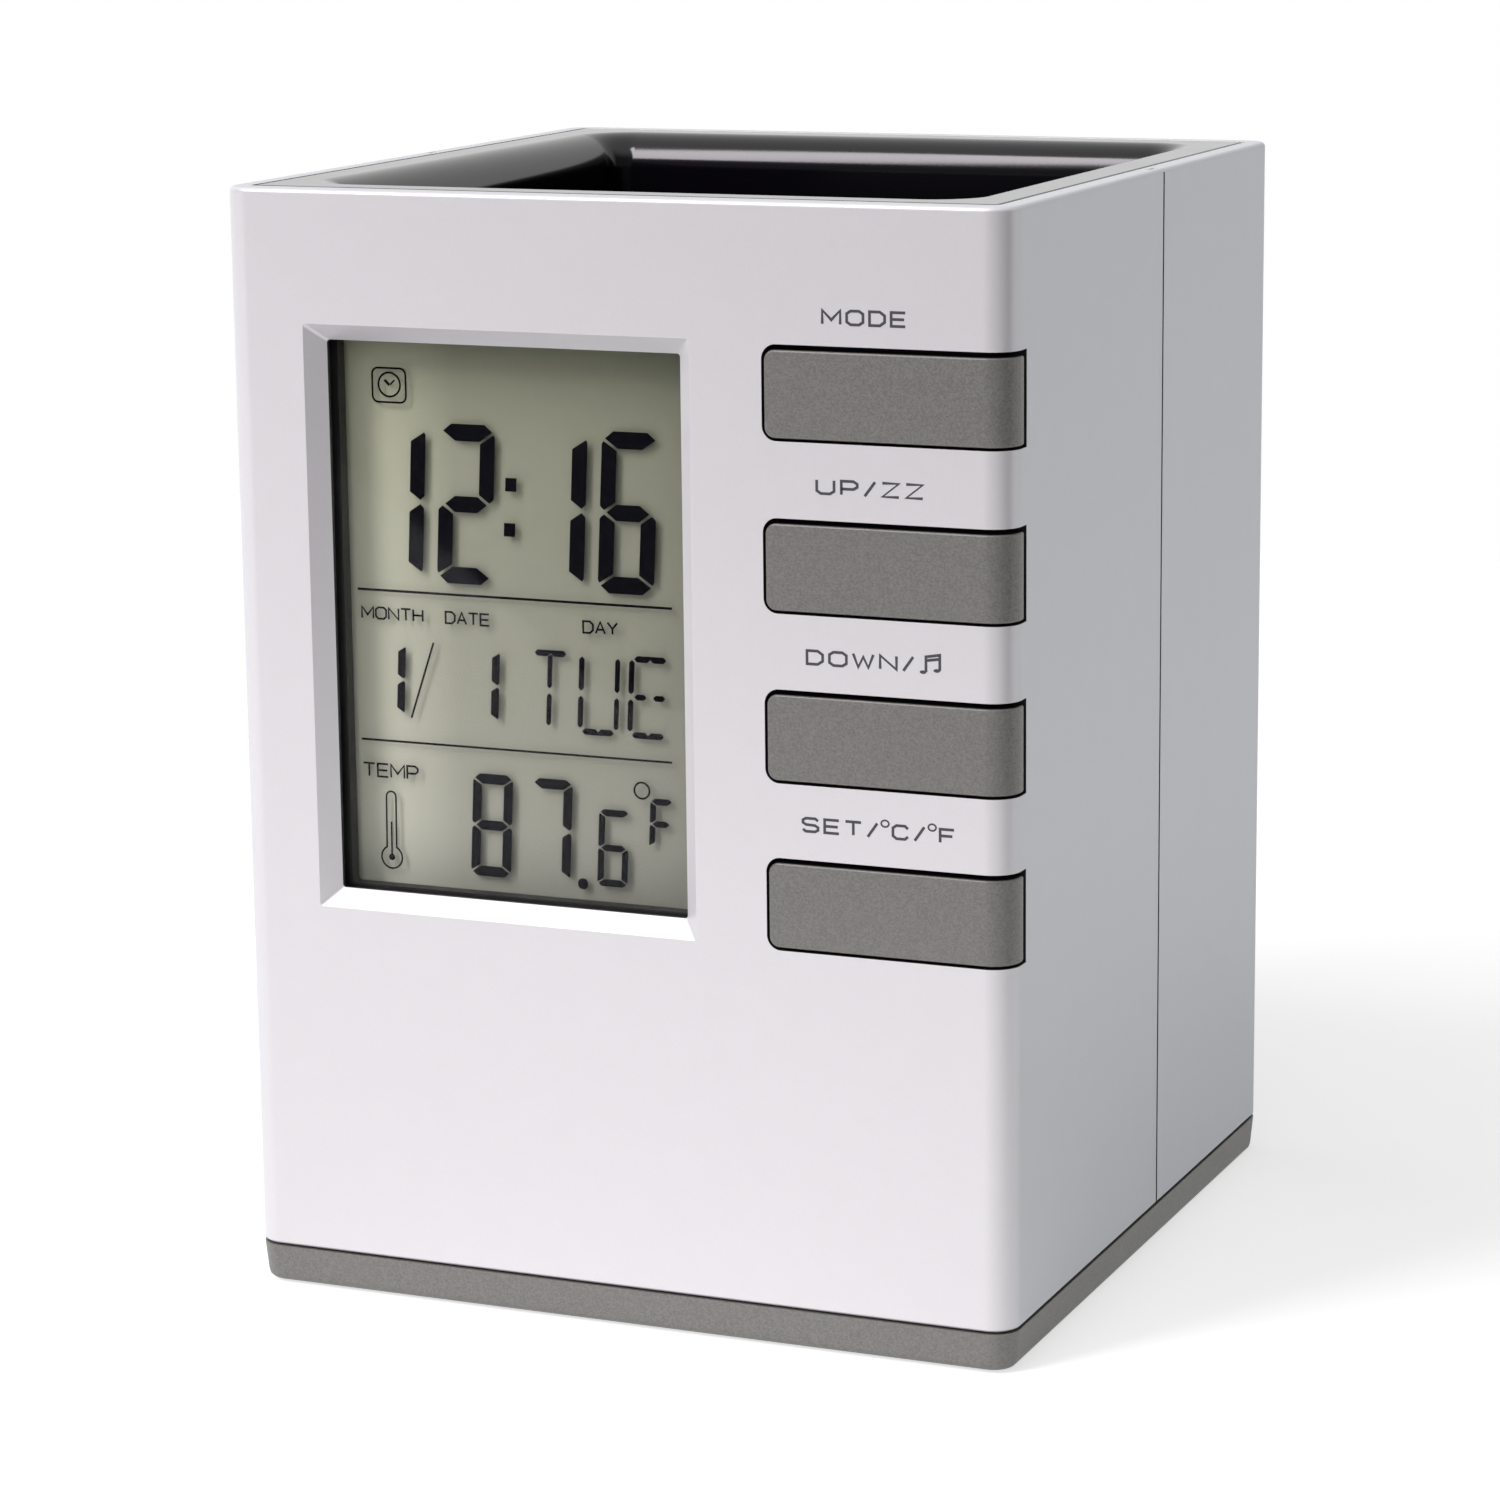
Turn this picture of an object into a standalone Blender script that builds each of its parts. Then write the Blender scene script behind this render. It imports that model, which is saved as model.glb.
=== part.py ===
"""Pen holder clock: a square desk cup with a digital clock in its front, built piece by piece.

X runs to the right, Y from the front face to the back and Z up, in metres. The origin lies on the
table under the middle of the holder. A depth is a distance behind the front face.
"""

import math

import bmesh
import bpy
from mathutils import Matrix, Vector

# Overall size
WIDTH = 0.080
DEPTH = 0.080
HEIGHT = 0.109
CORNER_RADIUS = 0.0027

# Clearances and joins
GAP = 0.0003
CUT_OVERRUN = 0.001
ROOT_SINK = 0.0006

# Covers
FRONT_WALL = 0.0022
SIDE_WALL = 0.0020
INNER_CORNER_RADIUS = 0.0007
RIM_RADIUS = 0.0005
COVER_EDGE = 0.0002
SEAM_DEPTH = 0.0437
SEAM_GAP = 0.0003
TONGUE_THICKNESS = 0.0008
TONGUE_LENGTH = 0.0016

# Display window: a sloping funnel round a straight opening
WINDOW_WIDTH = 0.03675
WINDOW_HEIGHT = 0.05365
WINDOW_SIDE_MARGIN = 0.01015
WINDOW_TOP_MARGIN = 0.0144
WINDOW_CORNER_RADIUS = 0.0003
FUNNEL_WIDTH = 0.00165
FUNNEL_DEPTH = 0.00175

# Display stack
LENS_LAP = 0.0018
LENS_THICKNESS = 0.0010
LENS_CORNER_RADIUS = 0.0008
FRAME_FACE = 0.0014
FRAME_WALL = 0.0010
FRAME_CORNER_RADIUS = 0.0006
PANEL_LAP = 0.0015
GLASS_THICKNESS = 0.0010
CONTACT_LEDGE = 0.0032
STRIP_HEIGHT = 0.0033
STRIP_WIDTH = 0.0022
STRIP_END_ROOM = 0.0012

# Circuit board
BOARD_THICKNESS = 0.0012
BOARD_SIDE_ROOM = 0.0008
BOARD_TOP_MARGIN = 0.0100
BOARD_BELOW_WINDOW = 0.00695
BOARD_BELOW_BUTTONS = 0.0096
BOARD_HOLE_RADIUS = 0.0012
BOARD_BOSS_RADIUS = 0.0017
BOARD_BOSS_BORE = 0.0011
BOARD_BOSS_INSET = 0.0050
BOARD_BOSS_EDGE = 0.0035
COMPONENT_ROOM = 0.0030
CHIP_RADIUS = 0.0055
CHIP_HEIGHT = 0.0013
CHIP_DROP = 0.0350
CRYSTAL_RADIUS = 0.0010
CRYSTAL_LENGTH = 0.0060
CRYSTAL_OFFSET = 0.0155
CRYSTAL_DROP = 0.0270
CAPACITOR_LENGTH = 0.0035
CAPACITOR_WIDTH = 0.0028
CAPACITOR_HEIGHT = 0.0019
CAPACITOR_EDGE = 0.0003
CAPACITOR_OFFSET = 0.0165
CAPACITOR_DROP = 0.0430
THERMISTOR_RADIUS = 0.0011
THERMISTOR_LENGTH = 0.0034
THERMISTOR_OFFSET = 0.0125
THERMISTOR_RISE = 0.0060

# Buttons, from the top down
BUTTONS = ("mode", "up", "down", "set")
TOP_BUTTON_DROP = 0.0174
BUTTON_PITCH = 0.0160
SLOT_TO_WINDOW = 0.00885
SLOT_HEIGHT = 0.0089
SLOT_CORNER_RADIUS = 0.0014
SLOT_WRAP = 0.0040
CAP_GAP = 0.00038
CAP_DROP = 0.00008
CAP_END_GAP = 0.0007
CAP_FACE = 0.0015
CAP_RIM = 0.0014
FLANGE_LAP = 0.0010
FLANGE_THICKNESS = 0.0007
POST_RADIUS = 0.0015
BUTTON_TRAVEL = 0.0005

# Switches under the buttons
SWITCH_SIZE = 0.0060
SWITCH_EDGE = 0.0004
SWITCH_HEIGHT = 0.0031
STEM_RADIUS = 0.0016
STEM_OUT = 0.0014
STEM_IN = 0.0012

# Base plate
BASE_LIFT = 0.0002
BASE_HEIGHT = 0.0038
BASE_FLOOR = 0.0018
BASE_RIM = 0.0022
BASE_DRAFT = 0.0003
BASE_EDGE_RADIUS = 0.0008

# Feet
FOOT_RADIUS = 0.0045
FOOT_SINK = 0.0008
FOOT_EDGE = 0.0001
FOOT_INSET = 0.0090

# Screws that hold the base to the covers
BASE_SCREW_INSET = 0.0056
FRONT_SCREW_DEPTH = 0.0210
REAR_SCREW_DEPTH = 0.0180
BASE_BOSS_RADIUS = 0.0030
BASE_BOSS_HEIGHT = 0.0087
BASE_BOSS_RIB = 0.0016
BASE_POST_RADIUS = 0.0037
COUNTERBORE_DEPTH = 0.0020
BASE_SCREW_RADIUS = 0.0012
BASE_SCREW_LENGTH = 0.0090
BASE_SCREW_HEAD_RADIUS = 0.0025
BASE_SCREW_HEAD = 0.0014

# Screws that hold the board to the front cover
BOARD_SCREW_RADIUS = 0.0008
BOARD_SCREW_LENGTH = 0.0060
BOARD_SCREW_HEAD_RADIUS = 0.0018
BOARD_SCREW_HEAD = 0.0011

# Every screw's cross recess, as shares of its head
RECESS_LENGTH_SHARE = 0.62
RECESS_WIDTH_SHARE = 0.17
RECESS_DEPTH_SHARE = 0.6
HEAD_EDGE_SHARE = 0.35

# Battery cells and their contacts
CELL_RADIUS = 0.00525
CELL_LENGTH = 0.0445
CELL_PITCH = 0.0111
CELL_EDGE = 0.0005
NUB_RADIUS = 0.0019
NUB_LENGTH = 0.0010
CELL_ROOM = 0.0006
SPRING_LENGTH = 0.0042
SPRING_WIRE_RADIUS = 0.00025
SPRING_WIDE_RADIUS = 0.0034
SPRING_NARROW_RADIUS = 0.0022
SPRING_TURNS = 4
CONTACT_THICKNESS = 0.0004
CONTACT_HEIGHT = 0.0084
CONTACT_WIDTH = 0.0092
CONTACT_EDGE = 0.0010

# Battery bay and its door
BAY_WALL = 0.0012
DOOR_THICKNESS = 0.0015
BEAD_RADIUS = 0.0013
HINGE_ROOM = 0.0004
PIN_RADIUS = 0.0006
PIN_LENGTH = 0.0017
HINGE_BOSS_LENGTH = 0.0030
HINGE_BOSS_WIDTH = 0.0042
HINGE_BOSS_TOP = 0.0044
LEDGE_LENGTH = 0.0060
LEDGE_REACH = 0.0012
LEDGE_HEIGHT = 0.0012
LEDGE_X = 0.0160
TONGUE_TAB_WIDTH = 0.0080
TONGUE_TAB_THICKNESS = 0.0010
TONGUE_TAB_HEIGHT = 0.0016
TONGUE_TAB_SETBACK = 0.0002
GRIP_COUNT = 3
GRIP_LENGTH = 0.0140
GRIP_RADIUS = 0.0004
GRIP_PITCH = 0.0016
GRIP_SETBACK = 0.0024
NAIL_NOTCH_RADIUS = 0.0060
NAIL_NOTCH_DEPTH = 0.0009

# Pen cup
LIP_FLAT = 0.0032
LIP_RADIUS = 0.0036
LIP_THICKNESS = 0.0016
LIP_EDGE = 0.0002
LIP_SKIRT = 0.0045
LIP_SKIRT_WALL = 0.0014
CUP_WALL = 0.0016
CUP_CORNER_RADIUS = 0.0020
CUP_FLOOR_FILLET = 0.0015
SHOULDER_DROP = 0.0005
CUP_EDGE = 0.0008

# Buzzer
BUZZER_RADIUS = 0.0060
BUZZER_PLATE = 0.0003
CERAMIC_RADIUS = 0.0045
CERAMIC_THICKNESS = 0.0003
BUZZER_MARGIN = 0.0020

# Wires
WIRE_RADIUS = 0.00045
WIRE_NOTCH = 0.0024
WIRE_OUT = 0.0028
WIRE_PITCH = 0.0015
WIRE_BEND = 0.0030
WIRE_TIGHT_BEND = 0.0015
WIRE_BOARD_RISE = 0.0025
BUZZER_WIRE_PITCH = 0.0030

# Smoothness of round shapes
CORNER_STEPS = 6
ROUND_STEPS = 20
EDGE_STEPS = 3
LIP_STEPS = 6
COIL_STEPS = 12
SMOOTH_ANGLE = math.radians(32)

# Places that follow from the sizes
FRONT_Y = -DEPTH / 2
INNER_X = WIDTH / 2 - SIDE_WALL
WINDOW_CENTRE_X = (WINDOW_WIDTH - WIDTH) / 2 + WINDOW_SIDE_MARGIN
WINDOW_CENTRE_Z = HEIGHT - WINDOW_TOP_MARGIN - WINDOW_HEIGHT / 2
WINDOW_BOTTOM_Z = WINDOW_CENTRE_Z - WINDOW_HEIGHT / 2
SLOT_LEFT_X = WINDOW_CENTRE_X + WINDOW_WIDTH / 2 + SLOT_TO_WINDOW
POST_X = (SLOT_LEFT_X + INNER_X) / 2
TOP_BUTTON_Z = HEIGHT - TOP_BUTTON_DROP
LOW_BUTTON_Z = TOP_BUTTON_Z - (len(BUTTONS) - 1) * BUTTON_PITCH
BOARD_TOP_Z = HEIGHT - BOARD_TOP_MARGIN
BOARD_BOTTOM_Z = min(WINDOW_BOTTOM_Z - BOARD_BELOW_WINDOW, LOW_BUTTON_Z - BOARD_BELOW_BUTTONS)
BASE_TOP_Z = BASE_LIFT + BASE_HEIGHT
FLOOR_Z = BASE_LIFT + BASE_FLOOR
COVER_BOTTOM_Z = BASE_TOP_Z + GAP
LENS_FRONT = FRONT_WALL + GAP
FRAME_FRONT = LENS_FRONT + LENS_THICKNESS + GAP
PANEL_FRONT = FRAME_FRONT + FRAME_FACE + GAP
STRIP_FRONT = PANEL_FRONT + GLASS_THICKNESS + GAP
STRIP_BACK = STRIP_FRONT + STRIP_HEIGHT
BOARD_FRONT = STRIP_BACK + GAP
BOARD_BACK = BOARD_FRONT + BOARD_THICKNESS
PANEL_WIDTH = WINDOW_WIDTH + 2 * PANEL_LAP
PANEL_HEIGHT = WINDOW_HEIGHT + 2 * PANEL_LAP
SWITCH_FRONT = BOARD_FRONT - GAP - SWITCH_HEIGHT
STEM_FRONT = SWITCH_FRONT - STEM_OUT
CAP_DEPTH = SLOT_WRAP - CAP_END_GAP
CAP_LEFT_X = SLOT_LEFT_X + CAP_GAP
CAP_HEIGHT = SLOT_HEIGHT - 2 * CAP_GAP
DOOR_TOP_Z = BASE_LIFT + DOOR_THICKNESS
CELL_Z = DOOR_TOP_Z + GAP + CELL_RADIUS
BAY_CEILING_Z = CELL_Z + CELL_RADIUS + CELL_ROOM
BAY_ROOF_Z = BAY_CEILING_Z + BAY_WALL
BAY_HALF = (CELL_LENGTH + SPRING_LENGTH + 2 * CONTACT_THICKNESS + 5 * GAP) / 2
BAY_BACK_Y = CELL_PITCH / 2 + CELL_RADIUS + CELL_ROOM
HINGE_Y = -(CELL_PITCH / 2 + CELL_RADIUS + HINGE_ROOM + BEAD_RADIUS)
HINGE_Z = BASE_LIFT + BEAD_RADIUS
BAY_FRONT_Y = HINGE_Y - BEAD_RADIUS - GAP
DOOR_HALF = BAY_HALF - GAP
DOOR_BACK_Y = BAY_BACK_Y - GAP
CONTACT_X = BAY_HALF - GAP - CONTACT_THICKNESS
CUP_INSET = SIDE_WALL + GAP + LIP_FLAT + LIP_RADIUS
CUP_FRONT_DEPTH = BOARD_BACK + COMPONENT_ROOM + CUP_WALL
CUP_BOTTOM_Z = BAY_ROOF_Z + GAP
CUP_FLOOR_Z = CUP_BOTTOM_Z + CUP_WALL
SHOULDER_TOP_Z = HEIGHT - LIP_RADIUS - SHOULDER_DROP
BASE_SCREW_X = WIDTH / 2 - BASE_SCREW_INSET
BASE_SCREW_YS = (FRONT_Y + FRONT_SCREW_DEPTH, DEPTH / 2 - REAR_SCREW_DEPTH)
BOARD_BOSS_X = WIDTH / 2 - BOARD_BOSS_INSET
BETWEEN_BUTTONS_Z = (TOP_BUTTON_Z - BUTTON_PITCH / 2, LOW_BUTTON_Z + BUTTON_PITCH / 2)
FRAME_GROW = PANEL_LAP + GAP + FRAME_WALL
BUZZER_Z = WINDOW_BOTTOM_Z - FRAME_GROW - BUZZER_MARGIN - BUZZER_RADIUS
BOARD_SCREW_PLACES = (
    (-BOARD_BOSS_X, BOARD_TOP_Z - BOARD_BOSS_EDGE),
    (-BOARD_BOSS_X, BOARD_BOTTOM_Z + BOARD_BOSS_EDGE),
    (BOARD_BOSS_X, BETWEEN_BUTTONS_Z[0]),
    (BOARD_BOSS_X, BETWEEN_BUTTONS_Z[1]),
)


def clear_scene():
    for obj in list(bpy.data.objects):
        bpy.data.objects.remove(obj)


def finish(name, colour, roughness, metallic=0.0, alpha=1.0):
    """A plain Principled material."""
    material = bpy.data.materials.new(name)
    material.use_nodes = True
    shader = material.node_tree.nodes["Principled BSDF"]
    shader.inputs["Base Color"].default_value = (*colour, 1.0)
    shader.inputs["Roughness"].default_value = roughness
    shader.inputs["Metallic"].default_value = metallic
    shader.inputs["Alpha"].default_value = alpha
    return material


def arc(centre, radius, start, end, steps):
    """Points from one angle to another, in degrees, both ends included."""
    angles = [math.radians(start + (end - start) * i / steps) for i in range(steps + 1)]
    return [(centre[0] + radius * math.cos(a), centre[1] + radius * math.sin(a)) for a in angles]


def circle(u, v, radius, steps=ROUND_STEPS):
    return arc((u, v), radius, 0, 360, steps)[:-1]


def rectangle(u0, u1, v0, v1):
    return [(u0, v0), (u1, v0), (u1, v1), (u0, v1)]


def rounded(u0, u1, v0, v1, radius, steps=CORNER_STEPS):
    """A rectangle with round corners, anticlockwise from its lower right corner."""
    corners = (
        (u1 - radius, v0 + radius, 270),
        (u1 - radius, v1 - radius, 0),
        (u0 + radius, v1 - radius, 90),
        (u0 + radius, v0 + radius, 180),
    )
    points = []
    for u, v, start in corners:
        points += arc((u, v), radius, start, start + 90, steps)
    return points


def placed(axis, outline, along):
    """An outline's points in space: (y, z) pairs on the X axis, (x, z) on Y and (x, y) on Z."""
    if axis == "X":
        return [(along, u, v) for u, v in outline]
    if axis == "Y":
        return [(u, along, v) for u, v in outline]
    return [(u, v, along) for u, v in outline]


def loft(name, rings):
    """A closed solid through rings that have the same number of points, capped at both ends."""
    count = len(rings[0])
    points = [point for ring in rings for point in ring]
    faces = [list(range(count)), list(range(len(points) - count, len(points)))]
    for low in range(0, len(points) - count, count):
        for i in range(count):
            j = (i + 1) % count
            faces.append([low + i, low + j, low + count + j, low + count + i])
    mesh = bpy.data.meshes.new(name)
    mesh.from_pydata(points, [], faces)
    obj = bpy.data.objects.new(name, mesh)
    bpy.context.scene.collection.objects.link(obj)
    turn_faces_out(mesh)
    return obj


def turn_faces_out(mesh):
    graph = bmesh.new()
    graph.from_mesh(mesh)
    bmesh.ops.recalc_face_normals(graph, faces=graph.faces)
    graph.to_mesh(mesh)
    graph.free()


def prism(name, axis, outline, low, high):
    return loft(name, [placed(axis, outline, low), placed(axis, outline, high)])


def turned(name, axis, u, v, profile, steps=ROUND_STEPS):
    """A round solid from (radius, place along the axis) pairs."""
    return loft(name, [placed(axis, circle(u, v, radius, steps), along) for radius, along in profile])


def combine(target, helper, operation):
    """Adds a Boolean to the target and hides the helper shape from renders."""
    modifier = target.modifiers.new(helper.name, "BOOLEAN")
    modifier.operation = operation
    modifier.solver = "EXACT"
    modifier.object = helper
    helper.hide_render = True
    helper.display_type = "WIRE"


def cut(target, helper):
    combine(target, helper, "DIFFERENCE")


def join(target, helper):
    combine(target, helper, "UNION")


def apply_modifiers(obj):
    """Turns the modifiers into plain mesh, so that copies can share it."""
    graph = bpy.context.evaluated_depsgraph_get()
    obj.data = bpy.data.meshes.new_from_object(obj.evaluated_get(graph))
    obj.modifiers.clear()


def dress(obj, material):
    obj.data.materials.clear()
    obj.data.materials.append(material)
    obj.data.shade_smooth()
    obj.data.set_sharp_from_angle(angle=SMOOTH_ANGLE)
    return obj


def set_origin(obj, origin):
    """Moves the object's origin without moving its shape."""
    obj.data.transform(Matrix.Translation(-Vector(origin)))
    obj.location = origin


def copy_to(obj, name, location):
    other = bpy.data.objects.new(name, obj.data)
    other.location = location
    bpy.context.scene.collection.objects.link(other)
    return other


def quarter_round(radius, steps=EDGE_STEPS):
    """(inset, rise) pairs of an outer edge, from the wall up to the flat."""
    angles = [math.radians(90 * i / steps) for i in range(steps + 1)]
    return [(radius * (1 - math.cos(a)), radius * math.sin(a)) for a in angles]


def shell_plan(reach, wall, end_steps, inset):
    """Plan of a three-sided shell as (x, distance from its closed face) pairs, the outside inset."""
    outer_x = WIDTH / 2 - inset
    radius = CORNER_RADIUS - inset
    inner = INNER_CORNER_RADIUS
    plan = [(-outer_x, reach)]
    plan += arc((radius - outer_x, inset + radius), radius, 180, 270, CORNER_STEPS)
    plan += arc((outer_x - radius, inset + radius), radius, 270, 360, CORNER_STEPS)
    plan += [(outer_x, reach), *end_steps]
    plan += arc((INNER_X - inner, wall + inner), inner, 360, 270, EDGE_STEPS)
    plan += arc((inner - INNER_X, wall + inner), inner, 270, 180, EDGE_STEPS)
    plan += [(-x, distance) for x, distance in reversed(end_steps)]
    return plan


def cover_shell(name, reach, wall, end_steps, face_y, inward):
    """A cover's walls, with a rounded rim; inward is 1 for the front cover and -1 for the rear."""
    levels = [(COVER_EDGE, COVER_BOTTOM_Z), (0, COVER_BOTTOM_Z + COVER_EDGE)]
    levels += [(inset, HEIGHT - RIM_RADIUS + rise) for inset, rise in quarter_round(RIM_RADIUS)]
    rings = []
    for inset, z in levels:
        plan = shell_plan(reach, wall, end_steps, inset)
        rings.append([(x, face_y + inward * distance, z) for x, distance in plan])
    return loft(name, rings)


def base_boss(cover, side, y):
    """A screw boss low on a cover's side wall, with the rib that ties it there."""
    x = side * BASE_SCREW_X
    top = COVER_BOTTOM_Z + BASE_BOSS_HEIGHT
    name = f"{cover.name}_{'right' if side > 0 else 'left'}"
    boss = prism(f"{name}_boss", "Z", circle(x, y, BASE_BOSS_RADIUS), COVER_BOTTOM_Z, top)
    ends = sorted((x, side * (INNER_X + ROOT_SINK)))
    rib = rectangle(*ends, y - BASE_BOSS_RIB / 2, y + BASE_BOSS_RIB / 2)
    bore = circle(x, y, BASE_SCREW_RADIUS + GAP)
    bore_top = COVER_BOTTOM_Z + BASE_SCREW_LENGTH - COUNTERBORE_DEPTH + GAP
    join(cover, boss)
    join(cover, prism(f"{name}_rib", "Z", rib, COVER_BOTTOM_Z + GAP, top - GAP))
    cut(cover, prism(f"{name}_bore", "Z", bore, COVER_BOTTOM_Z - CUT_OVERRUN, bore_top))


def window_cutter():
    """The funnel and the opening behind it, run past both faces of the wall."""
    overrun_width = FUNNEL_WIDTH * (1 + CUT_OVERRUN / FUNNEL_DEPTH)
    rings = []
    for depth, grow in (
        (-CUT_OVERRUN, overrun_width),
        (FUNNEL_DEPTH, 0),
        (FRONT_WALL + CUT_OVERRUN, 0),
    ):
        outline = window_outline(grow, WINDOW_CORNER_RADIUS)
        rings.append(placed("Y", outline, FRONT_Y + depth))
    return loft("window_opening", rings)


def window_outline(grow, radius):
    """The straight opening's outline, grown on all sides."""
    half_width = WINDOW_WIDTH / 2 + grow
    half_height = WINDOW_HEIGHT / 2 + grow
    return rounded(
        WINDOW_CENTRE_X - half_width,
        WINDOW_CENTRE_X + half_width,
        WINDOW_CENTRE_Z - half_height,
        WINDOW_CENTRE_Z + half_height,
        radius,
        EDGE_STEPS,
    )


def tab_outline(left, right, low, high, radius):
    """An outline with round corners on its left side only."""
    outline = [(right, low), (right, high)]
    outline += arc((left + radius, high - radius), radius, 90, 180, CORNER_STEPS)
    outline += arc((left + radius, low + radius), radius, 180, 270, CORNER_STEPS)
    return outline


def front_cover(silver):
    reach = SEAM_DEPTH - SEAM_GAP / 2
    lap_x = INNER_X + TONGUE_THICKNESS + GAP
    lap = SEAM_DEPTH + SEAM_GAP / 2 - TONGUE_LENGTH - GAP
    end_steps = [(lap_x, reach), (lap_x, lap), (INNER_X, lap)]
    cover = cover_shell("front_cover", reach, FRONT_WALL, end_steps, FRONT_Y, 1)
    cut(cover, window_cutter())
    for index, button in enumerate(BUTTONS):
        z = button_z(index)
        outline = tab_outline(
            SLOT_LEFT_X,
            WIDTH / 2 + CUT_OVERRUN,
            z - SLOT_HEIGHT / 2,
            z + SLOT_HEIGHT / 2,
            SLOT_CORNER_RADIUS,
        )
        cut(cover, prism(f"{button}_slot", "Y", outline, FRONT_Y - CUT_OVERRUN, FRONT_Y + SLOT_WRAP))
    for number, (x, z) in enumerate(BOARD_SCREW_PLACES, 1):
        root = FRONT_Y + FRONT_WALL - ROOT_SINK
        end = FRONT_Y + BOARD_FRONT - GAP
        bore_root = end - BOARD_SCREW_LENGTH
        join(cover, prism(f"board_boss_{number}", "Y", circle(x, z, BOARD_BOSS_RADIUS), root, end))
        bore = circle(x, z, BOARD_BOSS_BORE)
        cut(cover, prism(f"board_bore_{number}", "Y", bore, bore_root, end + CUT_OVERRUN))
    for side in (-1, 1):
        base_boss(cover, side, BASE_SCREW_YS[0])
    return dress(cover, silver)


def rear_cover(silver):
    reach = DEPTH - SEAM_DEPTH - SEAM_GAP / 2
    tongue_x = INNER_X + TONGUE_THICKNESS
    tip = reach + TONGUE_LENGTH
    end_steps = [(tongue_x, reach), (tongue_x, tip), (INNER_X, tip)]
    cover = cover_shell("rear_cover", reach, SIDE_WALL, end_steps, DEPTH / 2, -1)
    for side in (-1, 1):
        base_boss(cover, side, BASE_SCREW_YS[1])
    return dress(cover, silver)


def display_pieces():
    """The clear lens, the black frame, the glass panel and its two contact strips."""
    lens = prism(
        "display_lens",
        "Y",
        window_outline(LENS_LAP, LENS_CORNER_RADIUS),
        FRONT_Y + LENS_FRONT,
        FRONT_Y + LENS_FRONT + LENS_THICKNESS,
    )
    dress(lens, finish("lens_clear", (0.9, 0.92, 0.9), 0.05, alpha=0.25))

    frame_outline = window_outline(FRAME_GROW, FRAME_CORNER_RADIUS)
    frame_back = FRONT_Y + STRIP_BACK
    frame = prism("lcd_frame", "Y", frame_outline, FRONT_Y + FRAME_FRONT, frame_back)
    opening = window_outline(0, WINDOW_CORNER_RADIUS)
    cut(frame, prism("frame_opening", "Y", opening, FRONT_Y + LENS_FRONT, frame_back + CUT_OVERRUN))
    tray = window_outline(PANEL_LAP + GAP, WINDOW_CORNER_RADIUS)
    tray_front = FRONT_Y + FRAME_FRONT + FRAME_FACE
    cut(frame, prism("frame_tray", "Y", tray, tray_front, frame_back + CUT_OVERRUN))
    dress(frame, finish("frame_black", (0.02, 0.02, 0.022), 0.45))

    middle = FRONT_Y + PANEL_FRONT + GLASS_THICKNESS
    panel_outline = window_outline(PANEL_LAP, WINDOW_CORNER_RADIUS)
    panel = prism("lcd_panel", "Y", panel_outline, FRONT_Y + PANEL_FRONT, middle)
    half_width = PANEL_WIDTH / 2 - GAP
    half_height = PANEL_HEIGHT / 2 - CONTACT_LEDGE
    rear_glass = rectangle(
        WINDOW_CENTRE_X - half_width,
        WINDOW_CENTRE_X + half_width,
        WINDOW_CENTRE_Z - half_height,
        WINDOW_CENTRE_Z + half_height,
    )
    join(panel, prism("rear_glass", "Y", rear_glass, middle - ROOT_SINK, middle + GLASS_THICKNESS))
    dress(panel, finish("lcd_green_grey", (0.31, 0.33, 0.25), 0.3))

    rubber = finish("strip_pink", (0.62, 0.4, 0.42), 0.7)
    strip_half = PANEL_WIDTH / 2 - STRIP_END_ROOM
    strip_middle = PANEL_HEIGHT / 2 - CONTACT_LEDGE / 2
    for name, side in (("contact_strip_upper", 1), ("contact_strip_lower", -1)):
        z = WINDOW_CENTRE_Z + side * strip_middle
        outline = rectangle(
            WINDOW_CENTRE_X - strip_half,
            WINDOW_CENTRE_X + strip_half,
            z - STRIP_WIDTH / 2,
            z + STRIP_WIDTH / 2,
        )
        strip = prism(name, "Y", outline, FRONT_Y + STRIP_FRONT, FRONT_Y + STRIP_BACK)
        dress(strip, rubber)


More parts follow.
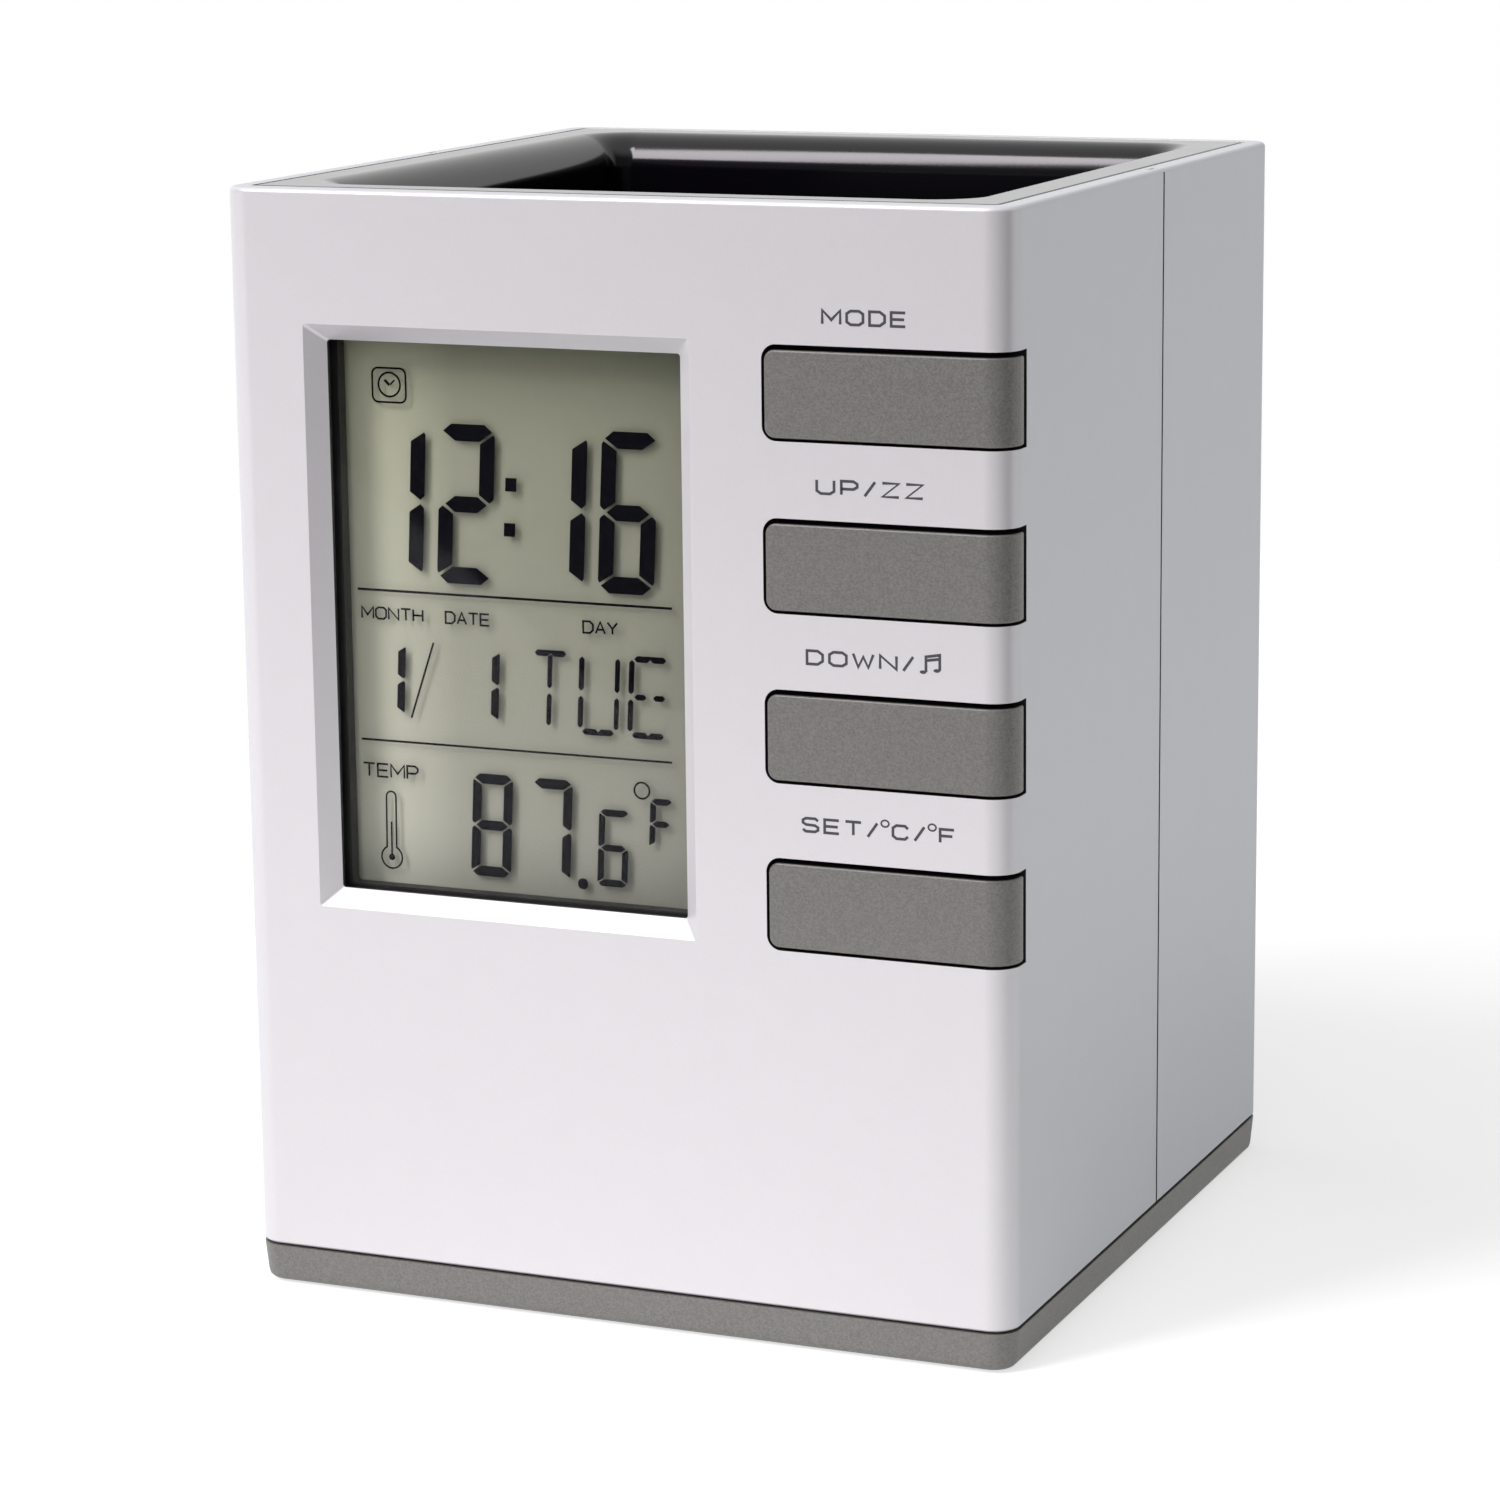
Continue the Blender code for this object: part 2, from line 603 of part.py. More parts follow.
def board_pieces():
    """The circuit board and what is soldered to its back."""
    half = INNER_X - BOARD_SIDE_ROOM
    front = FRONT_Y + BOARD_FRONT
    back = FRONT_Y + BOARD_BACK
    board = prism("circuit_board", "Y", rectangle(-half, half, BOARD_BOTTOM_Z, BOARD_TOP_Z), front, back)
    for number, (x, z) in enumerate(BOARD_SCREW_PLACES, 1):
        hole = circle(x, z, BOARD_HOLE_RADIUS)
        cut(board, prism(f"board_hole_{number}", "Y", hole, front - CUT_OVERRUN, back + CUT_OVERRUN))
    dress(board, finish("board_green", (0.04, 0.2, 0.09), 0.45))

    seat = back + GAP
    dome = [(CHIP_RADIUS * math.cos(a), seat + CHIP_HEIGHT * math.sin(a)) for a in dome_angles()]
    chip = turned("controller_chip", "Y", WINDOW_CENTRE_X, BOARD_TOP_Z - CHIP_DROP, dome)
    dress(chip, finish("chip_black", (0.012, 0.012, 0.013), 0.35))

    crystal_x = WINDOW_CENTRE_X + CRYSTAL_OFFSET
    crystal_y = seat + CRYSTAL_RADIUS
    crystal_z = BOARD_TOP_Z - CRYSTAL_DROP
    crystal_ends = (crystal_x, crystal_x + CRYSTAL_LENGTH)
    crystal_profile = [(CRYSTAL_RADIUS, x) for x in crystal_ends]
    crystal = turned("crystal_can", "X", crystal_y, crystal_z, crystal_profile)
    dress(crystal, finish("crystal_steel", (0.62, 0.62, 0.6), 0.3, 1.0))

    capacitor_x = WINDOW_CENTRE_X + CAPACITOR_OFFSET
    capacitor_z = BOARD_TOP_Z - CAPACITOR_DROP
    capacitor_outline = rounded(
        capacitor_x,
        capacitor_x + CAPACITOR_LENGTH,
        capacitor_z,
        capacitor_z + CAPACITOR_WIDTH,
        CAPACITOR_EDGE,
        EDGE_STEPS,
    )
    capacitor = prism("capacitor", "Y", capacitor_outline, seat, seat + CAPACITOR_HEIGHT)
    dress(capacitor, finish("capacitor_ochre", (0.62, 0.38, 0.08), 0.5))

    bead_x = WINDOW_CENTRE_X - THERMISTOR_OFFSET
    bead_start = BOARD_BOTTOM_Z + THERMISTOR_RISE
    bead_end = bead_start + THERMISTOR_LENGTH
    bead_profile = [
        (THERMISTOR_RADIUS - CAPACITOR_EDGE, bead_start),
        (THERMISTOR_RADIUS, bead_start + CAPACITOR_EDGE),
        (THERMISTOR_RADIUS, bead_end - CAPACITOR_EDGE),
        (THERMISTOR_RADIUS - CAPACITOR_EDGE, bead_end),
    ]
    bead = turned("thermistor", "Z", bead_x, seat + THERMISTOR_RADIUS, bead_profile)
    dress(bead, finish("thermistor_brown", (0.16, 0.07, 0.04), 0.4))


def dome_angles():
    """Angles from a dome's edge to near its top, where a small flat closes it."""
    return [math.radians(85 * i / CORNER_STEPS) for i in range(CORNER_STEPS + 1)]


def button_z(index):
    return TOP_BUTTON_Z - index * BUTTON_PITCH


def button_cap(grey):
    """One button cap: a shell that wraps the right front corner, with a flange and a post behind."""
    low = -CAP_DROP - CAP_HEIGHT / 2
    high = CAP_HEIGHT / 2 - CAP_DROP
    radius = SLOT_CORNER_RADIUS - CAP_GAP
    outline = tab_outline(CAP_LEFT_X, WIDTH / 2 + CUT_OVERRUN, low, high, radius)
    cap = prism("button_cap", "Y", outline, FRONT_Y - CUT_OVERRUN, FRONT_Y + CAP_DEPTH)
    body = rounded(-WIDTH / 2, WIDTH / 2, -DEPTH / 2, DEPTH / 2, CORNER_RADIUS)
    combine(cap, prism("body_outline", "Z", body, -SLOT_HEIGHT, SLOT_HEIGHT), "INTERSECT")

    inner_x = INNER_X - INNER_CORNER_RADIUS
    flange_low = -SLOT_HEIGHT / 2 - FLANGE_LAP
    flange = rectangle(SLOT_LEFT_X - FLANGE_LAP, inner_x, flange_low, -flange_low)
    flange_front = FRONT_Y + FRONT_WALL + GAP
    join(cap, prism("cap_flange", "Y", flange, flange_front, flange_front + FLANGE_THICKNESS))
    pocket = rectangle(CAP_LEFT_X + CAP_RIM, inner_x - CAP_RIM, low + CAP_RIM, high - CAP_RIM)
    pocket_front = FRONT_Y + CAP_FACE
    cut(cap, prism("cap_pocket", "Y", pocket, pocket_front, FRONT_Y + CAP_DEPTH + CUT_OVERRUN))
    post = circle(POST_X, 0, POST_RADIUS)
    join(cap, prism("cap_post", "Y", post, pocket_front - ROOT_SINK, FRONT_Y + STEM_FRONT - GAP))
    apply_modifiers(cap)
    return dress(cap, grey)


def buttons_and_switches():
    """Four caps, each over its own switch; the cap and the stem move back together."""
    grey = finish("button_grey", (0.19, 0.188, 0.178), 0.5, 0.35)
    black = finish("switch_black", (0.02, 0.02, 0.02), 0.5)
    cap = button_cap(grey)
    set_origin(cap, (POST_X, FRONT_Y, 0))

    half = SWITCH_SIZE / 2
    front = FRONT_Y + SWITCH_FRONT
    housing = rounded(POST_X - half, POST_X + half, -half, half, SWITCH_EDGE, EDGE_STEPS)
    body = prism("switch_housing", "Y", housing, front, front + SWITCH_HEIGHT)
    well = circle(POST_X, 0, STEM_RADIUS + GAP)
    well_depth = STEM_IN + BUTTON_TRAVEL + GAP
    cut(body, prism("stem_well", "Y", well, front - CUT_OVERRUN, front + well_depth))
    apply_modifiers(body)
    set_origin(body, (POST_X, front, 0))
    dress(body, black)

    stem_outline = circle(POST_X, 0, STEM_RADIUS)
    stem = prism("switch_plunger", "Y", stem_outline, FRONT_Y + STEM_FRONT, front + STEM_IN)
    set_origin(stem, (POST_X, front, 0))
    dress(stem, finish("stem_ivory", (0.7, 0.66, 0.55), 0.5))

    for index, button in enumerate(BUTTONS):
        z = button_z(index)
        copy_to(cap, f"{button}_button", (POST_X, FRONT_Y, z))
        copy_to(body, f"{button}_switch_body", (POST_X, front, z))
        copy_to(stem, f"{button}_switch_stem", (POST_X, front, z))
    for pattern in (cap, body, stem):
        bpy.data.objects.remove(pattern)


def screw(name, axis, length, radius, head_radius, head):
    """A pan-head screw with its seat at zero, its shank up the axis and a cross recess in its head."""
    edge = head * HEAD_EDGE_SHARE
    profile = [
        (head_radius - edge, -head),
        (head_radius, edge - head),
        (head_radius, 0),
        (radius, 0),
        (radius, length - radius),
        (radius / 2, length),
    ]
    solid = turned(name, axis, 0, 0, profile)
    reach = head_radius * RECESS_LENGTH_SHARE
    width = head_radius * RECESS_WIDTH_SHARE
    floor = head * (RECESS_DEPTH_SHARE - 1)
    cross = [(reach, -width), (reach, width), (width, width), (width, reach), (-width, reach)]
    cross += [(-width, width), (-reach, width), (-reach, -width), (-width, -width)]
    cross += [(-width, -reach), (width, -reach), (width, -width)]
    cut(solid, prism(f"{name}_recess", axis, cross, -head - CUT_OVERRUN, floor))
    apply_modifiers(solid)
    return solid


def screws():
    steel = finish("screw_steel", (0.55, 0.55, 0.56), 0.35, 1.0)
    base = screw(
        "base_screw",
        "Z",
        BASE_SCREW_LENGTH,
        BASE_SCREW_RADIUS,
        BASE_SCREW_HEAD_RADIUS,
        BASE_SCREW_HEAD,
    )
    dress(base, steel)
    seat_z = BASE_LIFT + COUNTERBORE_DEPTH - GAP
    places = [(side * BASE_SCREW_X, y) for y in BASE_SCREW_YS for side in (-1, 1)]
    for number, (x, y) in enumerate(places, 1):
        copy_to(base, f"base_screw_{number}", (x, y, seat_z))
    bpy.data.objects.remove(base)

    board = screw(
        "board_screw",
        "Y",
        BOARD_SCREW_LENGTH,
        BOARD_SCREW_RADIUS,
        BOARD_SCREW_HEAD_RADIUS,
        BOARD_SCREW_HEAD,
    )
    # These screws point forwards, into the front cover's bosses.
    board.data.transform(Matrix.Rotation(math.pi, 4, "Z"))
    dress(board, steel)
    seat_y = FRONT_Y + BOARD_BACK + GAP
    for number, (x, z) in enumerate(BOARD_SCREW_PLACES, 1):
        copy_to(board, f"board_screw_{number}", (x, seat_y, z))
    bpy.data.objects.remove(board)


def base_outline(inset):
    half_width = WIDTH / 2 - inset
    half_depth = DEPTH / 2 - inset
    return rounded(-half_width, half_width, -half_depth, half_depth, CORNER_RADIUS - inset)


def foot_places():
    x = WIDTH / 2 - FOOT_INSET
    y = DEPTH / 2 - FOOT_INSET
    return [(-x, -y), (x, -y), (-x, y), (x, y)]


def base_plate(grey):
    """A tray under the covers, with the battery bay moulded in its middle."""
    levels = [
        (BASE_DRAFT + inset, BASE_LIFT + BASE_EDGE_RADIUS - rise)
        for inset, rise in reversed(quarter_round(BASE_EDGE_RADIUS))
    ]
    levels += [(0, BASE_TOP_Z), (BASE_RIM, BASE_TOP_Z), (BASE_RIM, FLOOR_Z)]
    base = loft("base_plate", [placed("Z", base_outline(inset), z) for inset, z in levels])

    bay_x = BAY_HALF + BAY_WALL
    bay = rectangle(-bay_x, bay_x, BAY_FRONT_Y - BAY_WALL, BAY_BACK_Y + BAY_WALL)
    join(base, prism("bay_walls", "Z", bay, FLOOR_Z - ROOT_SINK, BAY_ROOF_Z))
    for side, name in ((-1, "left"), (1, "right")):
        ends = sorted((side * (BAY_HALF + GAP), side * (BAY_HALF + HINGE_BOSS_LENGTH)))
        boss_front = HINGE_Y - HINGE_BOSS_WIDTH / 2
        boss = rectangle(*ends, boss_front, boss_front + HINGE_BOSS_WIDTH)
        join(base, prism(f"hinge_boss_{name}", "Z", boss, FLOOR_Z - ROOT_SINK, HINGE_BOSS_TOP))
    screw_places = [(side * BASE_SCREW_X, y) for side in (-1, 1) for y in BASE_SCREW_YS]
    for number, (x, y) in enumerate(screw_places, 1):
        post = circle(x, y, BASE_POST_RADIUS)
        join(base, prism(f"screw_post_{number}", "Z", post, FLOOR_Z - ROOT_SINK, BASE_TOP_Z - GAP))

    below = BASE_LIFT - CUT_OVERRUN
    cavity = rectangle(-BAY_HALF, BAY_HALF, BAY_FRONT_Y, BAY_BACK_Y)
    cut(base, prism("bay_cavity", "Z", cavity, below, BAY_CEILING_Z))
    for number, (x, y) in enumerate(screw_places, 1):
        head = circle(x, y, BASE_SCREW_HEAD_RADIUS + GAP)
        cut(base, prism(f"screw_sink_{number}", "Z", head, below, BASE_LIFT + COUNTERBORE_DEPTH))
        hole = circle(x, y, BASE_SCREW_RADIUS + GAP)
        cut(base, prism(f"screw_hole_{number}", "Z", hole, below, BASE_TOP_Z + CUT_OVERRUN))
    for number, (x, y) in enumerate(foot_places(), 1):
        sink = circle(x, y, FOOT_RADIUS + GAP)
        cut(base, prism(f"foot_sink_{number}", "Z", sink, below, BASE_LIFT + FOOT_SINK))
    socket = circle(HINGE_Y, HINGE_Z, PIN_RADIUS + GAP)
    socket_end = DOOR_HALF + PIN_LENGTH + GAP
    cut(base, prism("hinge_sockets", "X", socket, -socket_end, socket_end))
    notch = circle(0, BAY_BACK_Y, NAIL_NOTCH_RADIUS)
    cut(base, prism("nail_notch", "Z", notch, below, BASE_LIFT + NAIL_NOTCH_DEPTH))
    for number, y in enumerate((-CELL_PITCH / 2, CELL_PITCH / 2), 1):
        half = WIRE_NOTCH / 2
        gate = rectangle(y - half, y + half, CELL_Z - half, CELL_Z + half)
        outer = bay_x + CUT_OVERRUN
        cut(base, prism(f"wire_gate_{number}", "X", gate, BAY_HALF - CUT_OVERRUN, outer))
    for side, name in ((-1, "left"), (1, "right")):
        x = side * LEDGE_X
        ledge = rectangle(
            x - LEDGE_LENGTH / 2,
            x + LEDGE_LENGTH / 2,
            BAY_BACK_Y - LEDGE_REACH,
            BAY_BACK_Y + ROOT_SINK,
        )
        ledge_z = DOOR_TOP_Z + GAP
        join(base, prism(f"door_ledge_{name}", "Z", ledge, ledge_z, ledge_z + LEDGE_HEIGHT))
    return dress(base, grey)


def battery_door(grey):
    """The door: a plate whose front edge is a round bead on two pins, with a springy tab behind."""
    meet = math.degrees(math.asin((DOOR_TOP_Z - HINGE_Z) / BEAD_RADIUS))
    outline = [(DOOR_BACK_Y, BASE_LIFT)]
    outline += arc((HINGE_Y, HINGE_Z), BEAD_RADIUS, 270, meet, ROUND_STEPS)
    outline += [(DOOR_BACK_Y, DOOR_TOP_Z)]
    door = prism("battery_door", "X", outline, -DOOR_HALF, DOOR_HALF)
    pin = circle(HINGE_Y, HINGE_Z, PIN_RADIUS)
    pin_end = DOOR_HALF + PIN_LENGTH
    join(door, prism("hinge_pins", "X", pin, -pin_end, pin_end))
    tab_back = DOOR_BACK_Y - TONGUE_TAB_SETBACK
    tab = rectangle(
        -TONGUE_TAB_WIDTH / 2,
        TONGUE_TAB_WIDTH / 2,
        tab_back - TONGUE_TAB_THICKNESS,
        tab_back,
    )
    tab_top = DOOR_TOP_Z + TONGUE_TAB_HEIGHT
    join(door, prism("door_tab", "Z", tab, DOOR_TOP_Z - ROOT_SINK, tab_top))
    for number in range(GRIP_COUNT):
        y = DOOR_BACK_Y - GRIP_SETBACK - number * GRIP_PITCH
        groove = circle(y, BASE_LIFT, GRIP_RADIUS, CORNER_STEPS * 2)
        cut(door, prism(f"door_grip_{number + 1}", "X", groove, -GRIP_LENGTH / 2, GRIP_LENGTH / 2))
    apply_modifiers(door)
    set_origin(door, (0, HINGE_Y, HINGE_Z))
    return dress(door, grey)


def feet(rubber):
    profile = [
        (FOOT_RADIUS - FOOT_EDGE, 0),
        (FOOT_RADIUS, FOOT_EDGE),
        (FOOT_RADIUS, BASE_LIFT + FOOT_SINK - GAP),
    ]
    foot = turned("foot", "Z", 0, 0, profile)
    dress(foot, rubber)
    names = ("front_left", "front_right", "rear_left", "rear_right")
    for name, (x, y) in zip(names, foot_places()):
        copy_to(foot, f"foot_{name}", (x, y, 0))
    bpy.data.objects.remove(foot)


def cup_ring(side_inset, front_inset, radius, z):
    half = WIDTH / 2 - side_inset
    back = DEPTH / 2 - side_inset
    return placed("Z", rounded(-half, half, FRONT_Y + front_inset, back, radius), z)


def inner_cup():
    """The black liner: a deep cup under a wide rounded lip, its front wall stepped back for the clock."""
    lip_z = HEIGHT - LIP_RADIUS
    under_radius = LIP_RADIUS - LIP_THICKNESS
    outer_inset = CUP_INSET - CUP_WALL
    run = CUP_FRONT_DEPTH - CUP_INSET
    shoulder_low_z = SHOULDER_TOP_Z - run
    slope = math.atan2(run, SHOULDER_TOP_Z - shoulder_low_z)
    lag = CUP_WALL * math.tan(slope / 2)
    front_low = CUP_FRONT_DEPTH
    floor_radius = CUP_CORNER_RADIUS - CUP_FLOOR_FILLET

    rings = []
    fillet_top = CUP_FLOOR_Z + CUP_FLOOR_FILLET
    fillet = reversed(quarter_round(CUP_FLOOR_FILLET))
    for inset, rise in fillet:
        radius = floor_radius + CUP_FLOOR_FILLET - inset
        rings.append(cup_ring(CUP_INSET + inset, front_low + inset, radius, fillet_top - rise))
    rings.append(cup_ring(CUP_INSET, front_low, CUP_CORNER_RADIUS, shoulder_low_z))
    rings.append(cup_ring(CUP_INSET, CUP_INSET, CUP_CORNER_RADIUS, SHOULDER_TOP_Z))
    for out, rise in quarter_round(LIP_RADIUS, LIP_STEPS):
        inset = CUP_INSET - out
        rings.append(cup_ring(inset, inset, CUP_CORNER_RADIUS + out, lip_z + rise))

    edge_side = SIDE_WALL + GAP
    edge_front = FRONT_WALL + GAP
    edge_radius = INNER_CORNER_RADIUS - GAP
    skirt_z = HEIGHT - LIP_SKIRT
    under_z = HEIGHT - LIP_THICKNESS
    rings.append(cup_ring(edge_side + LIP_EDGE, edge_front + LIP_EDGE, edge_radius, HEIGHT))
    rings.append(cup_ring(edge_side, edge_front, edge_radius, HEIGHT - LIP_EDGE))
    rings.append(cup_ring(edge_side, edge_front, edge_radius, skirt_z))
    inner_side = edge_side + LIP_SKIRT_WALL
    inner_front = edge_front + LIP_SKIRT_WALL
    rings.append(cup_ring(inner_side, inner_front, edge_radius, skirt_z))
    rings.append(cup_ring(inner_side, inner_front, edge_radius, under_z))
    for out, rise in reversed(quarter_round(under_radius)):
        inset = outer_inset - out
        rings.append(cup_ring(inset, inset, CUP_CORNER_RADIUS + CUP_WALL + out, lip_z + rise))
    radius = CUP_CORNER_RADIUS + CUP_WALL
    low_front = front_low - CUP_WALL
    rings.append(cup_ring(outer_inset, outer_inset, radius, SHOULDER_TOP_Z - lag))
    rings.append(cup_ring(outer_inset, low_front, radius, shoulder_low_z - lag))
    rings.append(cup_ring(outer_inset, low_front, radius, CUP_BOTTOM_Z + CUP_EDGE))
    edge_ring = (outer_inset + CUP_EDGE, low_front + CUP_EDGE, radius - CUP_EDGE, CUP_BOTTOM_Z)
    rings.append(cup_ring(*edge_ring))
    cup = loft("inner_cup", rings)
    return dress(cup, finish("cup_black", (0.01, 0.01, 0.011), 0.12))


def cells():
    """Two cells side by side, turned opposite ways, with the button end named as the nub."""
    label = finish("cell_jacket", (0.1, 0.16, 0.3), 0.35, 0.3)
    tip = CONTACT_X - GAP
    shoulder = tip - NUB_LENGTH
    tail = tip - CELL_LENGTH
    profile = [
        (CELL_RADIUS - CELL_EDGE, tail),
        (CELL_RADIUS, tail + CELL_EDGE),
        (CELL_RADIUS, shoulder - CELL_EDGE),
        (CELL_RADIUS - CELL_EDGE, shoulder),
        (NUB_RADIUS, shoulder),
        (NUB_RADIUS, tip),
    ]
    for number, side in ((1, 1), (2, -1)):
        places = [(radius, side * x) for radius, x in profile]
        cell = turned(f"battery_cell_{number}", "X", -side * CELL_PITCH / 2, CELL_Z, places)
        dress(cell, label)


def contact(name, side, y, half_width):
    """A flat contact plate at one end of the bay."""
    half_height = CONTACT_HEIGHT / 2
    outline = rounded(
        y - half_width,
        y + half_width,
        CELL_Z - half_height,
        CELL_Z + half_height,
        CONTACT_EDGE,
        EDGE_STEPS,
    )
    ends = sorted((side * CONTACT_X, side * (CONTACT_X + CONTACT_THICKNESS)))
    return prism(name, "X", outline, *ends)


def contacts():
    plate = finish("contact_nickel", (0.66, 0.64, 0.6), 0.3, 1.0)
    half = CONTACT_WIDTH / 2
    dress(contact("contact_link", -1, 0, half + CELL_PITCH / 2), plate)
    dress(contact("contact_positive", 1, -CELL_PITCH / 2, half), plate)
    dress(contact("contact_negative", 1, CELL_PITCH / 2, half), plate)
    coil_spring("contact_spring_1", -1, -CELL_PITCH / 2, plate)
    coil_spring("contact_spring_2", 1, CELL_PITCH / 2, plate)


def coil_spring(name, side, y, material):
    """A conical spring between a contact plate and the flat end of a cell."""
    start = CONTACT_X - GAP - SPRING_WIRE_RADIUS
    travel = SPRING_LENGTH - 2 * SPRING_WIRE_RADIUS
    steps = SPRING_TURNS * COIL_STEPS
    points = []
    for i in range(steps + 1):
        share = i / steps
        angle = 2 * math.pi * i / COIL_STEPS
        radius = SPRING_WIDE_RADIUS + (SPRING_NARROW_RADIUS - SPRING_WIDE_RADIUS) * share
        x = side * (start - travel * share)
        points.append((x, y + radius * math.cos(angle), CELL_Z + radius * math.sin(angle)))
    wire(name, points, SPRING_WIRE_RADIUS, 1, material)


def wire(name, points, radius, fineness, material):
    """A closed round tube along points."""
    curve = bpy.data.curves.new(name, "CURVE")
    curve.dimensions = "3D"
    curve.bevel_depth = radius
    curve.bevel_resolution = fineness
    curve.use_fill_caps = True
    spline = curve.splines.new("POLY")
    spline.points.add(len(points) - 1)
    for point, place in zip(spline.points, points):
        point.co = (*place, 1)
    curve.materials.append(material)
    obj = bpy.data.objects.new(name, curve)
    bpy.context.scene.collection.objects.link(obj)
    return obj


def smooth_route(route, steps):
    """Points of a smooth curve through a route's own points."""
    ends = [2 * route[0] - route[1], *route, 2 * route[-1] - route[-2]]
    points = []
    for before, start, end, after in zip(ends, ends[1:], ends[2:], ends[3:]):
        for i in range(steps):
            t = i / steps
            line = 2 * start + (end - before) * t
            bend = (2 * before - 5 * start + 4 * end - after) * t**2
            turn = (3 * start - before - 3 * end + after) * t**3
            points.append((line + bend + turn) / 2)
    return [*points, route[-1]]


def battery_wires():
    """Red and black wires from the bay's right end, over the screw bosses, to the foot of the board."""
    lane_y = FRONT_Y + BOARD_BACK + COMPONENT_ROOM / 2
    lane_z = (COVER_BOTTOM_Z + BASE_BOSS_HEIGHT + CUP_BOTTOM_Z) / 2
    pad_y = FRONT_Y + BOARD_BACK + GAP + WIRE_RADIUS
    pad_z = BOARD_BOTTOM_Z + WIRE_BOARD_RISE
    turn_z = lane_z + WIRE_TIGHT_BEND
    for name, colour, y, lane in (
        ("battery_wire_red", (0.5, 0.02, 0.02), -CELL_PITCH / 2, 0),
        ("battery_wire_black", (0.015, 0.015, 0.015), CELL_PITCH / 2, 1),
    ):
        start_x = BAY_HALF + GAP
        lane_x = BAY_HALF + WIRE_OUT + lane * WIRE_PITCH
        route = [
            Vector((start_x, y, CELL_Z)),
            Vector((start_x + WIRE_OUT / 2, y, CELL_Z)),
            Vector((lane_x, y - WIRE_BEND, (CELL_Z + lane_z) / 2)),
            Vector((lane_x, y - 2 * WIRE_BEND, lane_z)),
            Vector((lane_x, BAY_FRONT_Y - BAY_WALL, lane_z)),
            Vector((lane_x, lane_y + WIRE_TIGHT_BEND, lane_z)),
            Vector((lane_x, lane_y, turn_z)),
            Vector((lane_x, lane_y, (turn_z + pad_z) / 2)),
            Vector((lane_x, pad_y, pad_z)),
        ]
        material = finish(f"{name}_sleeve", colour, 0.4)
        wire(name, smooth_route(route, EDGE_STEPS), WIRE_RADIUS, 1, material)


def buzzer():
    """A brass disc with a ceramic disc on it, stuck behind the front wall, and its wires to the board."""
    front = FRONT_Y + FRONT_WALL + GAP
    face = front + BUZZER_PLATE
    profile = [
        (BUZZER_RADIUS, front),
        (BUZZER_RADIUS, face),
        (CERAMIC_RADIUS, face),
        (CERAMIC_RADIUS, face + CERAMIC_THICKNESS),
    ]
    disc = turned("piezo_buzzer", "Y", WINDOW_CENTRE_X, BUZZER_Z, profile)
    dress(disc, finish("buzzer_brass", (0.75, 0.58, 0.28), 0.35, 1.0))
    start_y = face + CERAMIC_THICKNESS + GAP
    pad_y = FRONT_Y + BOARD_FRONT - GAP - WIRE_RADIUS
    pad_z = BOARD_BOTTOM_Z + WIRE_RADIUS + GAP
    for name, side in (("buzzer_wire_left", -1), ("buzzer_wire_right", 1)):
        x = WINDOW_CENTRE_X + side * BUZZER_WIRE_PITCH / 2
        route = [
            Vector((x, start_y, BUZZER_Z)),
            Vector((x, start_y + WIRE_TIGHT_BEND, BUZZER_Z)),
            Vector((x, pad_y - WIRE_TIGHT_BEND, pad_z)),
            Vector((x, pad_y, pad_z)),
        ]
        material = finish(f"{name}_sleeve", (0.3, 0.3, 0.32), 0.4)
        wire(name, smooth_route(route, EDGE_STEPS), WIRE_RADIUS, 1, material)


def build():
    clear_scene()
    silver = finish("silver_paint", (0.72, 0.72, 0.74), 0.38, 0.6)
    front_cover(silver)
    rear_cover(silver.copy())
    base_plate(finish("base_grey", (0.23, 0.228, 0.22), 0.5, 0.3))
    inner_cup()
    display_pieces()
    board_pieces()
    buttons_and_switches()
    screws()
    battery_door(finish("door_grey", (0.23, 0.228, 0.22), 0.5, 0.3))
    feet(finish("foot_rubber", (0.02, 0.02, 0.02), 0.8))
    cells()
    contacts()
    battery_wires()
    buzzer()


build()
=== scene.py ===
"""Looks of the pen holder clock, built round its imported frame.

X runs to the right, Y from the front face to the back and Z up, in metres. A depth is a distance
behind the front face. The display's and the labels' drawings are laid out in millimetres.
"""

import math

import bmesh
import bpy
from mathutils import Matrix, Vector

